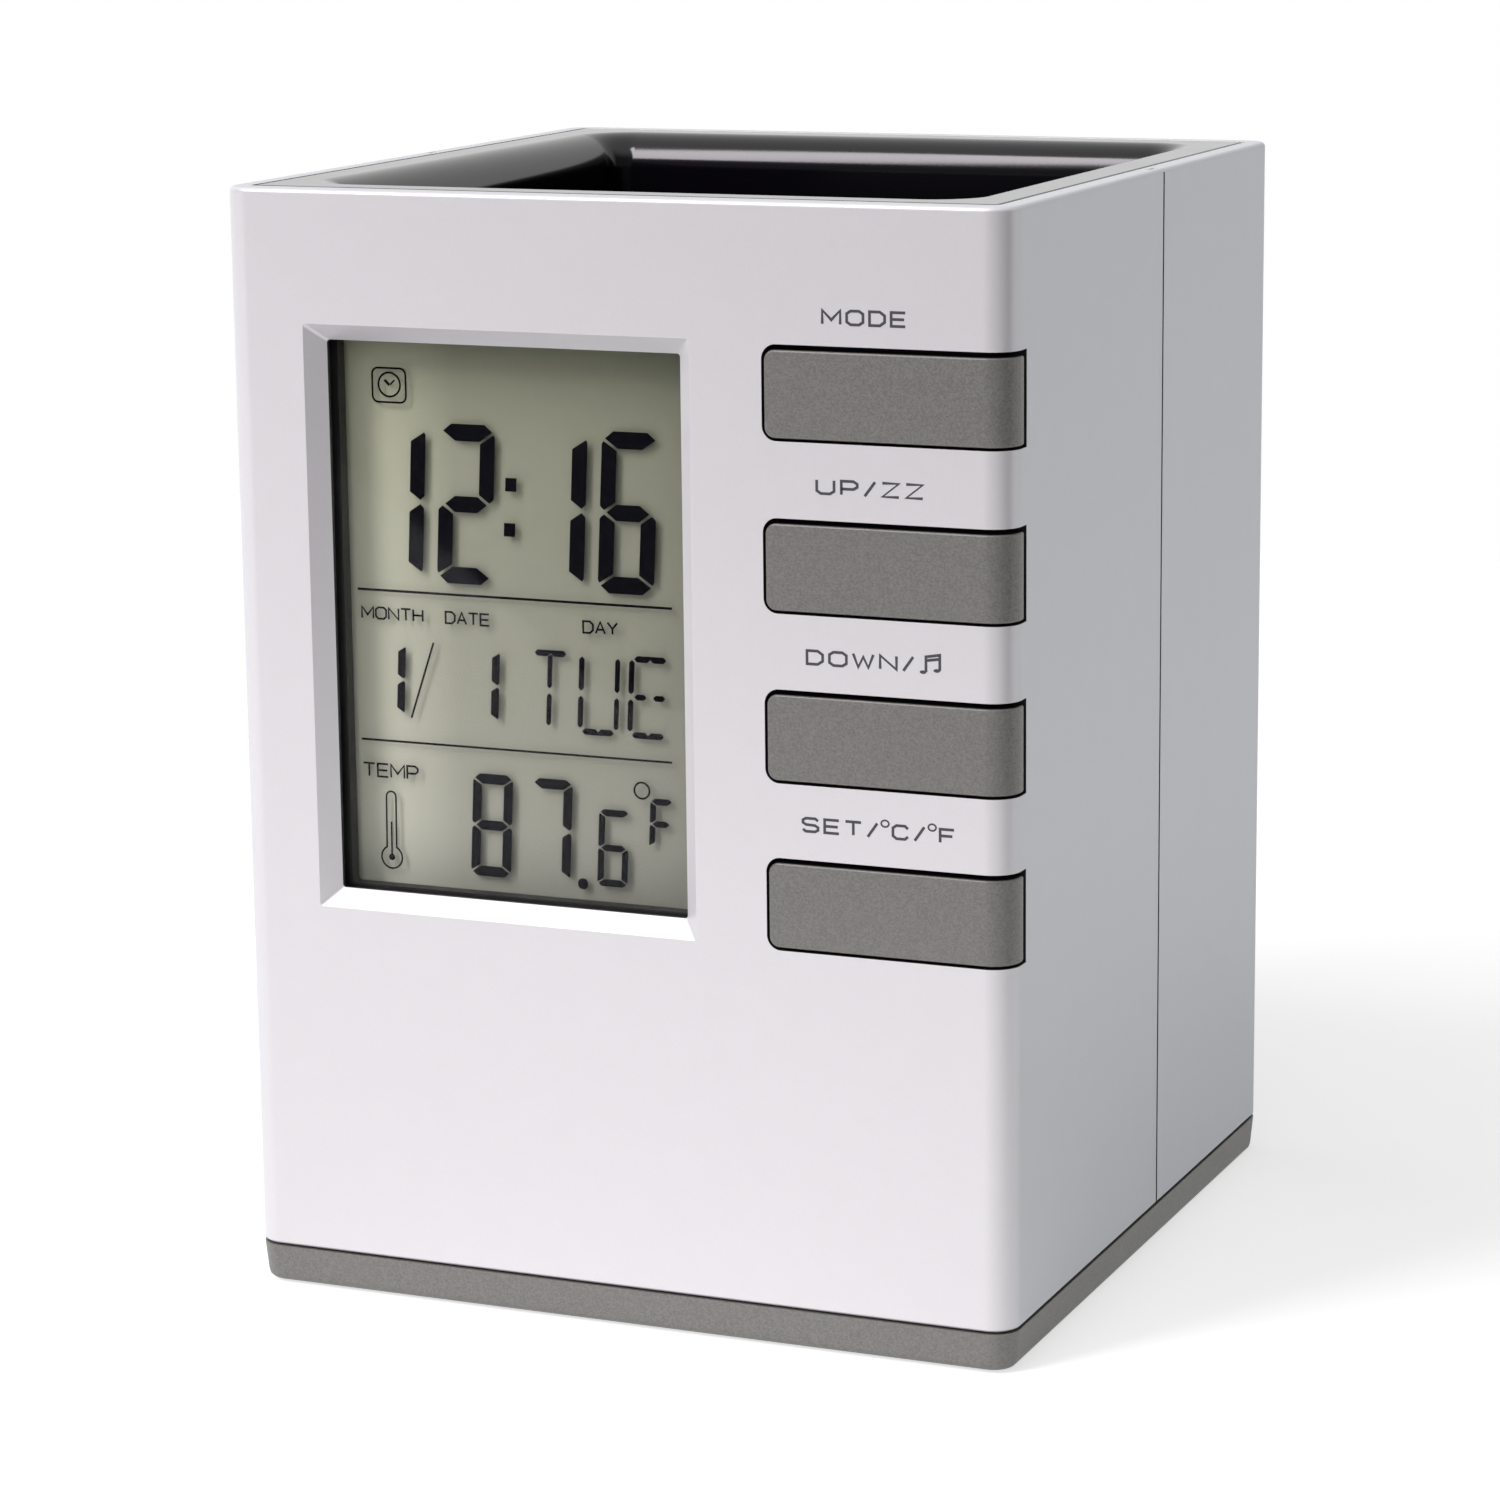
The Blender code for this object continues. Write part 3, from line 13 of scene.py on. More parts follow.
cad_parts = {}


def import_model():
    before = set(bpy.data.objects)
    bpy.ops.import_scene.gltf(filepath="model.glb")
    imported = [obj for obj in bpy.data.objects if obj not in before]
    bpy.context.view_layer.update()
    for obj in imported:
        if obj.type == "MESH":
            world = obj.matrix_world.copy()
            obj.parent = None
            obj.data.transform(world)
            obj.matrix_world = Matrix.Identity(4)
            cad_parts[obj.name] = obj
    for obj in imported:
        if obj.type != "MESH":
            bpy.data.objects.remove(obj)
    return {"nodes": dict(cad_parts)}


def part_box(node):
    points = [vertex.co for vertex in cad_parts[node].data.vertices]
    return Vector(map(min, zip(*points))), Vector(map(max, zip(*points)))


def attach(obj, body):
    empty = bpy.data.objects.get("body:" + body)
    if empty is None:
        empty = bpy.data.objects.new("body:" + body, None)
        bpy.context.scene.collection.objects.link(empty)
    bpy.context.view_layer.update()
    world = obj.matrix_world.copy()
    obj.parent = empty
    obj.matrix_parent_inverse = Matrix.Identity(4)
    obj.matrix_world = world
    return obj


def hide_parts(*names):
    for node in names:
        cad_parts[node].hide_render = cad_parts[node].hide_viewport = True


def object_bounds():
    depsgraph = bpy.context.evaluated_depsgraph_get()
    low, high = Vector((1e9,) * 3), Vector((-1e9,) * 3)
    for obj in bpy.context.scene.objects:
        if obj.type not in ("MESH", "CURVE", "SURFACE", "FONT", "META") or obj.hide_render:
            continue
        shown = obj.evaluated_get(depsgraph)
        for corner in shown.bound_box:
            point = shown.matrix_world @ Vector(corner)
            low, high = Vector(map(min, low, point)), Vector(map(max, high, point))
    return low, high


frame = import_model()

MM = 0.001
NODES = frame["nodes"]
cad_low, cad_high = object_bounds()

# Overall size, from the frame
WIDTH = cad_high.x - cad_low.x
BACK_Y = cad_high.y
HEIGHT = cad_high.z
PRINT_THICKNESS = 0.02 * MM
INK_Y = cad_low.y
FRONT_Y = INK_Y + PRINT_THICKNESS

# Covers
CORNER_RADIUS = 2.7 * MM
FRONT_WALL = 2.2 * MM
SIDE_WALL = 2.0 * MM
INNER_CORNER_RADIUS = 0.7 * MM
RIM_RADIUS = 0.5 * MM
COVER_EDGE = 0.2 * MM
SEAM_GAP = 0.4 * MM
TONGUE_THICKNESS = 0.8 * MM
TONGUE_LENGTH = 1.6 * MM
GAP = 0.3 * MM
COVER_EASE = 0.12 * MM
OPENING_EASE = 0.22 * MM
COVER_BOTTOM_DROP = 0.1 * MM
COVER_BOTTOM_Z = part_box("front_cover")[0].z - COVER_BOTTOM_DROP
SEAM_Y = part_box("front_cover")[1].y
INNER_X = WIDTH / 2 - SIDE_WALL

# Window
LENS_LAP = 1.8 * MM
LENS_CORNER_RADIUS = 0.8 * MM
FUNNEL_WIDTH = 1.65 * MM
FUNNEL_DEPTH = 1.75 * MM
WINDOW_CORNER_RADIUS = 0.3 * MM
LENS_LOW, LENS_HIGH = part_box("display_lens")
WINDOW_LEFT = LENS_LOW.x + LENS_LAP
WINDOW_RIGHT = LENS_HIGH.x - LENS_LAP
WINDOW_BOTTOM = LENS_LOW.z + LENS_LAP
WINDOW_TOP = LENS_HIGH.z - LENS_LAP

# Display stack
FRAME_GROW = 2.8 * MM
FRAME_FACE = 1.4 * MM
PANEL_LAP = 1.5 * MM
FRONT_SHEET = 0.1 * MM
DRAWING_SINK = 0.01 * MM
DRAWING_THICKNESS = 0.03 * MM
FILM_DEPTH = 0.7 * MM
CONTACT_LEDGE = 3.2 * MM
SEAL_WIDTH = 0.9 * MM

# Buttons
BUTTONS = ("mode", "up", "down", "set")
FLANGE_LAP = 1.0 * MM
SLOT_CORNER_RADIUS = 1.4 * MM
SLOT_WRAP = 4.0 * MM
CAP_GAP = 0.38 * MM
CAP_DROP = 0.14 * MM
CAP_SIDE_GAP = 0.2 * MM
CAP_END_GAP = 0.6 * MM
CAP_FACE = 1.5 * MM
CAP_RIM = 1.4 * MM
CAP_EASE = 0.22 * MM
FLANGE_THICKNESS = 0.7 * MM
POST_RADIUS = 1.5 * MM

# Pen cup
LIP_FLAT = 3.2 * MM
LIP_RADIUS = 3.6 * MM
LIP_THICKNESS = 1.6 * MM
LIP_EDGE = 0.2 * MM
LIP_SKIRT = 4.5 * MM
LIP_SKIRT_WALL = 1.4 * MM
CUP_WALL = 1.6 * MM
CUP_CORNER_RADIUS = 2.0 * MM
CUP_FLOOR_FILLET = 1.5 * MM
CUP_EDGE = 0.8 * MM
CUP_FRONT_DEPTH = 16.2 * MM
CUP_INSET = SIDE_WALL + GAP + LIP_FLAT + LIP_RADIUS
CUP_LOW_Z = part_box("inner_cup")[0].z
LIP_Z = HEIGHT - LIP_RADIUS
SHOULDER_DROP = 0.5 * MM
SHOULDER_ANGLE = math.radians(45)
SHOULDER_TOP_Z = LIP_Z - SHOULDER_DROP
SHOULDER_LOW_Z = SHOULDER_TOP_Z - (CUP_FRONT_DEPTH - CUP_INSET)

# Smoothness of round shapes
CORNER_STEPS = 14
RIM_STEPS = 6
LIP_STEPS = 20
ROUND_STEPS = 48
FINE_STEPS = 4
EASE_ANGLE = math.radians(34)
FLAT_ANGLE = math.radians(0.5)
MERGE_DISTANCE = 0.002 * MM
OVERRUN = 1.0 * MM
UNPAINTED_SHADE_DEPTH = 0.35 * MM
BASE_EASE = 0.12 * MM
DOOR_EASE = 0.1 * MM
FOOT_EASE = 0.06 * MM


# Outlines and solids


def arc(centre, radius, start, end, steps):
    """Points from one angle to another, in degrees, both ends included."""
    angles = [math.radians(start + (end - start) * i / steps) for i in range(steps + 1)]
    return [(centre[0] + radius * math.cos(a), centre[1] + radius * math.sin(a)) for a in angles]


def circle(u, v, radius, steps=ROUND_STEPS):
    return arc((u, v), radius, 0, 360, steps)[:-1]


def rectangle(u0, u1, v0, v1):
    return [(u0, v0), (u1, v0), (u1, v1), (u0, v1)]


def rounded(u0, u1, v0, v1, radius, steps=CORNER_STEPS):
    """A rectangle with round corners, anticlockwise from its lower right corner."""
    corners = (
        (u1 - radius, v0 + radius, 270),
        (u1 - radius, v1 - radius, 0),
        (u0 + radius, v1 - radius, 90),
        (u0 + radius, v0 + radius, 180),
    )
    points = []
    for u, v, start in corners:
        points += arc((u, v), radius, start, start + 90, steps)
    return points


def placed(axis, outline, along):
    """An outline's points in space: (x, z) pairs on the Y axis and (x, y) pairs on Z."""
    if axis == "Y":
        return [(u, along, v) for u, v in outline]
    return [(u, v, along) for u, v in outline]


def quarter_round(radius, steps):
    """(inset, rise) pairs of an outer edge, from the wall up to the flat."""
    angles = [math.radians(90 * i / steps) for i in range(steps + 1)]
    return [(radius * (1 - math.cos(a)), radius * math.sin(a)) for a in angles]


def skin(rings, closed=False):
    """Points and faces through rings of equal count: capped at both ends, or closed into a loop."""
    count = len(rings[0])
    points = [point for ring in rings for point in ring]
    faces = []
    if not closed:
        faces += [list(range(count)), list(range(len(points) - count, len(points)))]
    for k in range(len(rings) - (0 if closed else 1)):
        low = k * count
        high = (k + 1) % len(rings) * count
        for i in range(count):
            j = (i + 1) % count
            faces.append([low + i, low + j, high + j, high + i])
    return points, faces


def linked(name, data):
    """A new object in the scene."""
    obj = bpy.data.objects.new(name, data)
    bpy.context.scene.collection.objects.link(obj)
    return obj


def merged(name, solids):
    """One object from several solids, each given as its points and faces."""
    points = []
    faces = []
    for solid_points, solid_faces in solids:
        start = len(points)
        points += solid_points
        faces += [[start + i for i in face] for face in solid_faces]
    mesh = bpy.data.meshes.new(name)
    mesh.from_pydata(points, [], faces)
    graph = bmesh.new()
    graph.from_mesh(mesh)
    bmesh.ops.recalc_face_normals(graph, faces=graph.faces)
    graph.to_mesh(mesh)
    graph.free()
    return linked(name, mesh)


def loft(name, rings):
    return merged(name, [skin(rings)])


def prism(name, axis, outline, low, high):
    return loft(name, [placed(axis, outline, low), placed(axis, outline, high)])


def bake(obj):
    """Turns an object's modifiers into plain mesh."""
    graph = bpy.context.evaluated_depsgraph_get()
    mesh = bpy.data.meshes.new_from_object(obj.evaluated_get(graph))
    obj.modifiers.clear()
    obj.data = mesh
    mesh.name = obj.name
    return obj


def combine(target, helpers, operation):
    """Booleans the helper shapes with the target, one by one, and deletes them."""
    for helper in helpers:
        modifier = target.modifiers.new(helper.name, "BOOLEAN")
        modifier.operation = operation
        modifier.solver = "EXACT"
        modifier.object = helper
    bake(target)
    for helper in helpers:
        bpy.data.objects.remove(helper)


def ease(obj, width, segments=2):
    """Rounds an object's sharp edges, as a moulding's are, and bakes them in."""
    bevel = obj.modifiers.new("ease", "BEVEL")
    bevel.width = width
    bevel.segments = segments
    bevel.limit_method = "ANGLE"
    bevel.angle_limit = EASE_ANGLE
    bevel.use_clamp_overlap = True
    bevel.miter_outer = "MITER_ARC"
    return bake(obj)


def dress(obj, material):
    """Gives a finished piece its material and smooth shading that keeps its flats flat."""
    obj.data.materials.clear()
    obj.data.materials.append(material)
    obj.data.shade_smooth()
    obj.data.set_sharp_from_angle(angle=EASE_ANGLE)
    weighted = obj.modifiers.new("weighted", "WEIGHTED_NORMAL")
    weighted.keep_sharp = True


def install(obj, material, body, slot, *nodes):
    """Dresses a piece, hides the CAD nodes that it stands for and fixes it to its body."""
    dress(obj, material)
    if nodes:
        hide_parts(*nodes)
    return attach(obj, body)


def under_outside(point):
    """How far a point lies under the body's outside: its rounded plan or its top."""
    u = abs(point.x) - WIDTH / 2 + CORNER_RADIUS
    v = abs(point.y - (FRONT_Y + BACK_Y) / 2) - (BACK_Y - FRONT_Y) / 2 + CORNER_RADIUS
    corner = math.hypot(u, v) if u > 0 and v > 0 else max(u, v)
    return min(CORNER_RADIUS - corner, HEIGHT - point.z)


def in_funnel(point):
    """Whether a point lies on the window's sloping sides."""
    return (
        WINDOW_LEFT - FUNNEL_WIDTH < point.x < WINDOW_RIGHT + FUNNEL_WIDTH
        and WINDOW_BOTTOM - FUNNEL_WIDTH < point.z < WINDOW_TOP + FUNNEL_WIDTH
        and point.y < FRONT_Y + FUNNEL_DEPTH
    )


def unpainted_gap_shade(obj):
    """Gives the faces under the outside (gaps, laps and insides) near-black raw plastic: partly the bare
    moulding, partly painted shade that darkens the seams and the button gaps.
    """
    obj.data.materials.append(RAW_PLASTIC_GAP_SHADE)
    for face in obj.data.polygons:
        if under_outside(face.center) > UNPAINTED_SHADE_DEPTH and not in_funnel(face.center):
            face.material_index = 1


def refined(node, name, width):
    """A copy of a CAD node whose coplanar triangles are merged and whose sharp edges are eased."""
    source = NODES[node].data
    mesh = bpy.data.meshes.new(name)
    mesh.from_pydata([v.co for v in source.vertices], [], [p.vertices for p in source.polygons])
    graph = bmesh.new()
    graph.from_mesh(mesh)
    bmesh.ops.remove_doubles(graph, verts=graph.verts, dist=MERGE_DISTANCE)
    bmesh.ops.dissolve_limit(
        graph, angle_limit=FLAT_ANGLE, verts=graph.verts, edges=graph.edges, use_dissolve_boundaries=False
    )
    graph.to_mesh(mesh)
    graph.free()
    return ease(linked(name, mesh), width)


# Materials

EDGE_SHINE_POWER = 5.0
PATCH_GRAINS = 30
GRAIN_DEPTH = 0.1
GLOSS_SPREAD = 0.12
FLAKE_GLOSS_SPREAD = 0.1
CLOUD_SIZE = 4 * MM
CLOUD_DETAIL = 4.0
CLOUD_SPREAD = 0.015
RUBBER_GRAIN = 0.2 * MM
RUBBER_BUMP = 0.1

# Sockets of the Mix node, by number because its kinds share their names
MIX_SHARE = 0
MIX_LOW = 2
MIX_HIGH = 3
MIX_VALUE = 0
MIX_LOW_COLOUR = 6
MIX_HIGH_COLOUR = 7
MIX_COLOUR = 2

# The display's reflector: painted shade towards its right side and its foot, and painted light near
# its left edge
FILM_PAINTED_SHADE_LEFT = 1.0
FILM_PAINTED_SHADE_RIGHT = 0.66
FILM_PAINTED_LIGHT_EDGE = 1.75
FILM_PAINTED_LIGHT_EDGE_END = WINDOW_LEFT + 11 * MM
FILM_PAINTED_SHADE_FOOT = 0.85
FILM_PAINTED_SHADE_FOOT_END = WINDOW_BOTTOM + 6 * MM
FILM_GRAIN = 0.12 * MM
FILM_BUMP = 0.02
FILM_GRAIN_DEPTH = 0.01 * MM


def look(name, colour, roughness, metallic=0.0, **sockets):
    """A Principled material; further sockets are given by name, with _ for a space."""
    material = bpy.data.materials.new(name)
    material.use_nodes = True
    shader = material.node_tree.nodes["Principled BSDF"]
    shader.inputs["Base Color"].default_value = (*colour, 1.0)
    shader.inputs["Roughness"].default_value = roughness
    shader.inputs["Metallic"].default_value = metallic
    for key, value in sockets.items():
        shader.inputs[key.replace("_", " ")].default_value = value
    return material


def add(material, kind, inputs=None, **settings):
    """A node with its settings. An input is a value, or another node's output to link."""
    made = material.node_tree.nodes.new(kind)
    for key, value in settings.items():
        setattr(made, key, value)
    for key, value in (inputs or {}).items():
        if isinstance(value, bpy.types.NodeSocket):
            material.node_tree.links.new(value, made.inputs[key])
        else:
            made.inputs[key].default_value = value
    return made


def feed(material, socket, output):
    """Links an output to a socket of the material's Principled shader."""
    shader = material.node_tree.nodes["Principled BSDF"]
    material.node_tree.links.new(output, shader.inputs[socket])


def place(material):
    """The surface's own coordinates, in metres."""
    return add(material, "ShaderNodeTexCoord").outputs["Object"]


def noise(material, size, detail=2.0):
    """Noise from 0 to 1 whose blobs are about size across."""
    inputs = {"Vector": place(material), "Scale": 1 / size, "Detail": detail}
    outputs = add(material, "ShaderNodeTexNoise", inputs).outputs
    return outputs["Factor"] if "Factor" in outputs else outputs["Fac"]


def between(material, factor, low, high, start=0.0, end=1.0):
    """Maps a factor from start..end to low..high."""
    inputs = {"Value": factor, "From Min": start, "From Max": end, "To Min": low, "To Max": high}
    return add(material, "ShaderNodeMapRange", inputs).outputs["Result"]


def maths(material, operation, *values):
    """The result of an operation on numbers or sockets."""
    return add(material, "ShaderNodeMath", dict(enumerate(values)), operation=operation).outputs[0]


def vectors(material, operation, *values):
    """The result of an operation on vectors or sockets."""
    made = add(material, "ShaderNodeVectorMath", dict(enumerate(values)), operation=operation)
    return made.outputs["Vector"]


def shaded(material, colour, factor):
    """A colour, or any vector, scaled by a factor."""
    scaled = add(material, "ShaderNodeVectorMath", {0: colour, "Scale": factor}, operation="SCALE")
    return scaled.outputs["Vector"]


def grain(material, height, strength, distance):
    """Feeds a bump from a height into the shader."""
    inputs = {"Height": height, "Strength": strength, "Distance": distance}
    feed(material, "Normal", add(material, "ShaderNodeBump", inputs).outputs["Normal"])
    return material


def around(material, factor, middle, spread):
    """Maps a factor from 0..1 to a share either side of a middle value."""
    return between(material, factor, middle * (1 - spread), middle * (1 + spread))


def colour_mix(material, share, low, high):
    """A colour that goes from low to high as the share goes from 0 to 1."""
    inputs = {MIX_SHARE: share, MIX_LOW_COLOUR: (*low, 1.0), MIX_HIGH_COLOUR: (*high, 1.0)}
    return add(material, "ShaderNodeMix", inputs, data_type="RGBA").outputs[MIX_COLOUR]


def moulded(name, colour, roughness, grain_size, mottle=0.06, bump=0.15, metallic=0.0, **sockets):
    """Moulded plastic, rubber or metal: faint mottling, a fine grain and uneven gloss."""
    material = look(name, colour, roughness, metallic, **sockets)
    patches = noise(material, PATCH_GRAINS * grain_size)
    feed(material, "Base Color", shaded(material, colour, around(material, patches, 1, mottle)))
    feed(material, "Roughness", around(material, patches, roughness, GLOSS_SPREAD))
    return grain(material, noise(material, grain_size), bump, GRAIN_DEPTH * grain_size)


def flaked_paint(name, colour, roughness, metallic, flake, contrast, tilt, **sockets):
    """Sprayed metallic paint: flakes that differ in brightness and lean a little each way."""
    material = look(name, colour, roughness, metallic, **sockets)
    inputs = {"Vector": place(material), "Scale": 1 / flake}
    cells = add(material, "ShaderNodeTexVoronoi", inputs).outputs["Color"]
    value = add(material, "ShaderNodeSeparateColor", {"Color": cells}).outputs["Red"]
    clouds = around(material, noise(material, CLOUD_SIZE, CLOUD_DETAIL), 1, CLOUD_SPREAD)
    spark = around(material, value, 1, contrast)
    sparkle = maths(material, "MULTIPLY", spark, clouds)
    feed(material, "Base Color", shaded(material, colour, sparkle))
    feed(material, "Roughness", around(material, value, roughness, FLAKE_GLOSS_SPREAD))
    centred = vectors(material, "SUBTRACT", cells, (0.5, 0.5, 0.5))
    normal = add(material, "ShaderNodeNewGeometry").outputs["Normal"]
    tipped = vectors(material, "ADD", normal, shaded(material, centred, tilt))
    feed(material, "Normal", vectors(material, "NORMALIZE", tipped))
    return material


def clear_sheet(name, tint, roughness, shine):
    """Thin clear plastic or glass: light passes straight through, and its surfaces still shine, from
    the given share face on up to all of it edge on."""
    material = bpy.data.materials.new(name)
    material.use_nodes = True
    tree = material.node_tree
    tree.nodes.remove(tree.nodes["Principled BSDF"])
    through = add(material, "ShaderNodeBsdfTransparent", {"Color": (*tint, 1.0)})
    gloss = add(material, "ShaderNodeBsdfGlossy", {"Roughness": roughness})
    slope = add(material, "ShaderNodeLayerWeight", {"Blend": 0.5}).outputs["Facing"]
    share = between(material, maths(material, "POWER", slope, EDGE_SHINE_POWER), shine, 1.0)
    surfaces = {0: share, 1: through.outputs["BSDF"], 2: gloss.outputs["BSDF"]}
    mix = add(material, "ShaderNodeMixShader", surfaces)
    tree.links.new(mix.outputs["Shader"], tree.nodes["Material Output"].inputs["Surface"])
    return material


def banded(name, colours, roughness, axis, pitch):
    """Two colours in even bands along an axis, such as a layered rubber connector."""
    material = look(name, colours[0], roughness)
    along = add(material, "ShaderNodeSeparateXYZ", {"Vector": place(material)}).outputs[axis]
    share = maths(material, "FRACT", maths(material, "DIVIDE", along, pitch))
    step = maths(material, "GREATER_THAN", share, 0.5)
    feed(material, "Base Color", colour_mix(material, step, *colours))
    return grain(material, noise(material, RUBBER_GRAIN), RUBBER_BUMP, GRAIN_DEPTH * RUBBER_GRAIN)


def reflector(name, low_colour, high_colour, roughness):
    """The display's satin reflector. Its colour darkens and yellows upwards, partly its tint and partly
    painted shade, with painted shade towards its right and foot and painted light by its left edge.
    """
    material = look(name, low_colour, roughness)
    parts = add(material, "ShaderNodeSeparateXYZ", {"Vector": place(material)}).outputs
    share = between(material, parts["Z"], 0.0, 1.0, WINDOW_BOTTOM, WINDOW_TOP)
    # Painted shade: darker towards the right and at the foot; painted light by the left edge
    across = between(material, parts["X"], FILM_PAINTED_SHADE_LEFT, FILM_PAINTED_SHADE_RIGHT, WINDOW_LEFT, WINDOW_RIGHT)
    edge = between(material, parts["X"], FILM_PAINTED_LIGHT_EDGE, 1.0, WINDOW_LEFT, FILM_PAINTED_LIGHT_EDGE_END)
    foot = between(material, parts["Z"], FILM_PAINTED_SHADE_FOOT, 1.0, WINDOW_BOTTOM, FILM_PAINTED_SHADE_FOOT_END)
    tint = colour_mix(material, share, low_colour, high_colour)
    for factor in (across, edge, foot):
        tint = shaded(material, tint, factor)
    feed(material, "Base Color", tint)
    return grain(material, noise(material, FILM_GRAIN), FILM_BUMP, FILM_GRAIN_DEPTH)


SILVER_EDGE = (0.8, 0.94, 1.0, 1.0)
SILVER = flaked_paint(
    "silver_paint",
    (0.77, 0.756, 0.772),
    roughness=0.38,
    metallic=0.3,
    flake=0.1 * MM,
    contrast=0.012,
    tilt=0.01,
    Specular_Tint=SILVER_EDGE,
)
GREY = flaked_paint(
    "grey_paint",
    (0.205, 0.202, 0.19),
    roughness=0.46,
    metallic=0.35,
    flake=0.14 * MM,
    contrast=0.2,
    tilt=0.14,
)
# Near-black bare plastic inside the covers and caps, also standing as painted shade in seams and gaps
RAW_PLASTIC_GAP_SHADE = moulded("raw_plastic_gap_shade", (0.012, 0.012, 0.013), 0.5, 0.15 * MM)
CUP_BLACK = moulded("cup_black", (0.002, 0.0015, 0.003), 0.15, 0.4 * MM, bump=0.04)
LENS_CLEAR = clear_sheet("lens_clear", (0.985, 0.985, 0.98), 0.02, 0.008)
LCD_GLASS = clear_sheet("lcd_glass", (0.98, 0.98, 0.975), 0.1, 0.003)
FRAME_BLACK = moulded("frame_black", (0.022, 0.022, 0.023), 0.5, 0.15 * MM)
LCD_INK = moulded("lcd_ink", (0.003, 0.003, 0.006), 0.6, 0.2 * MM, bump=0.02, Specular_IOR_Level=0.05)
# The film's colours: the top one darker and yellower, partly its tint and partly painted shade
LCD_FILM = reflector("lcd_film", (0.53, 0.54, 0.47), (0.42, 0.435, 0.32), 0.6)
LABEL_INK = moulded("label_ink", (0.06, 0.06, 0.07), 0.5, 0.1 * MM)
STRIP_RUBBER = banded("strip_rubber", ((0.62, 0.4, 0.42), (0.05, 0.05, 0.05)), 0.7, "X", 0.1 * MM)
BOARD_GREEN = moulded("board_green", (0.03, 0.17, 0.08), 0.4, 0.1 * MM, mottle=0.2)
CHIP_BLACK = moulded("chip_black", (0.012, 0.012, 0.013), 0.3, 0.3 * MM)
OCHRE = moulded("capacitor_ochre", (0.62, 0.38, 0.08), 0.5, 0.1 * MM)
BROWN = moulded("thermistor_brown", (0.16, 0.07, 0.04), 0.35, 0.3 * MM)
BRASS = moulded("buzzer_brass", (0.75, 0.58, 0.28), 0.35, 0.2 * MM, metallic=1.0)
SWITCH_BLACK = moulded("switch_black", (0.02, 0.02, 0.02), 0.5, 0.1 * MM)
IVORY = moulded("stem_ivory", (0.7, 0.66, 0.55), 0.45, 0.1 * MM)
STEEL = moulded("screw_steel", (0.55, 0.55, 0.56), 0.3, 0.15 * MM, metallic=1.0)
NICKEL = moulded("contact_nickel", (0.66, 0.64, 0.6), 0.28, 0.2 * MM, metallic=1.0)
CELL_JACKET = moulded("cell_jacket", (0.06, 0.1, 0.22), 0.3, 0.2 * MM, Coat_Weight=0.5)
FOOT_RUBBER = moulded("foot_rubber", (0.02, 0.02, 0.021), 0.8, 0.12 * MM, bump=0.4)
WIRE_RED = moulded("wire_red", (0.5, 0.02, 0.02), 0.4, 0.1 * MM)
WIRE_BLACK = moulded("wire_black", (0.015, 0.015, 0.015), 0.4, 0.1 * MM)
WIRE_GREY = moulded("wire_grey", (0.3, 0.3, 0.32), 0.4, 0.1 * MM)


# Covers


def shell_plan(reach, wall, end_steps, inset):
    """Plan of a three-sided shell as (x, distance from its closed face) pairs, the outside inset."""
    outer_x = WIDTH / 2 - inset
    radius = CORNER_RADIUS - inset
    inner = INNER_CORNER_RADIUS
    plan = [(-outer_x, reach)]
    plan += arc((radius - outer_x, inset + radius), radius, 180, 270, CORNER_STEPS)
    plan += arc((outer_x - radius, inset + radius), radius, 270, 360, CORNER_STEPS)
    plan += [(outer_x, reach), *end_steps]
    plan += arc((INNER_X - inner, wall + inner), inner, 360, 270, FINE_STEPS)
    plan += arc((inner - INNER_X, wall + inner), inner, 270, 180, FINE_STEPS)
    plan += [(-x, distance) for x, distance in reversed(end_steps)]
    return plan


def cover_shell(name, reach, wall, end_steps, face_y, inward):
    """A cover's walls, with a rounded rim; inward is 1 for the front cover and -1 for the rear."""
    levels = [(COVER_EDGE, COVER_BOTTOM_Z), (0, COVER_BOTTOM_Z + COVER_EDGE)]
    for inset, rise in quarter_round(RIM_RADIUS, RIM_STEPS):
        levels.append((inset, HEIGHT - RIM_RADIUS + rise))
    rings = []
    for inset, z in levels:
        plan = shell_plan(reach, wall, end_steps, inset)
        rings.append([(x, face_y + inward * distance, z) for x, distance in plan])
    return loft(name, rings)


def window_outline(grow, radius=WINDOW_CORNER_RADIUS):
    """The straight opening's outline, grown on all sides."""
    sides = (WINDOW_LEFT - grow, WINDOW_RIGHT + grow, WINDOW_BOTTOM - grow, WINDOW_TOP + grow)
    return rounded(*sides, radius, FINE_STEPS)


def tab_outline(left, right, low, high, radius):
    """An outline with round corners on its left side only."""
    outline = [(right, low), (right, high)]
    outline += arc((left + radius, high - radius), radius, 90, 180, CORNER_STEPS)
    outline += arc((left + radius, low + radius), radius, 180, 270, CORNER_STEPS)
    return outline


def slot_box(button):
    """A button slot's left end, bottom and top."""
    low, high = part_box(f"{button}_button")
    return low.x + FLANGE_LAP, low.z + FLANGE_LAP, high.z - FLANGE_LAP


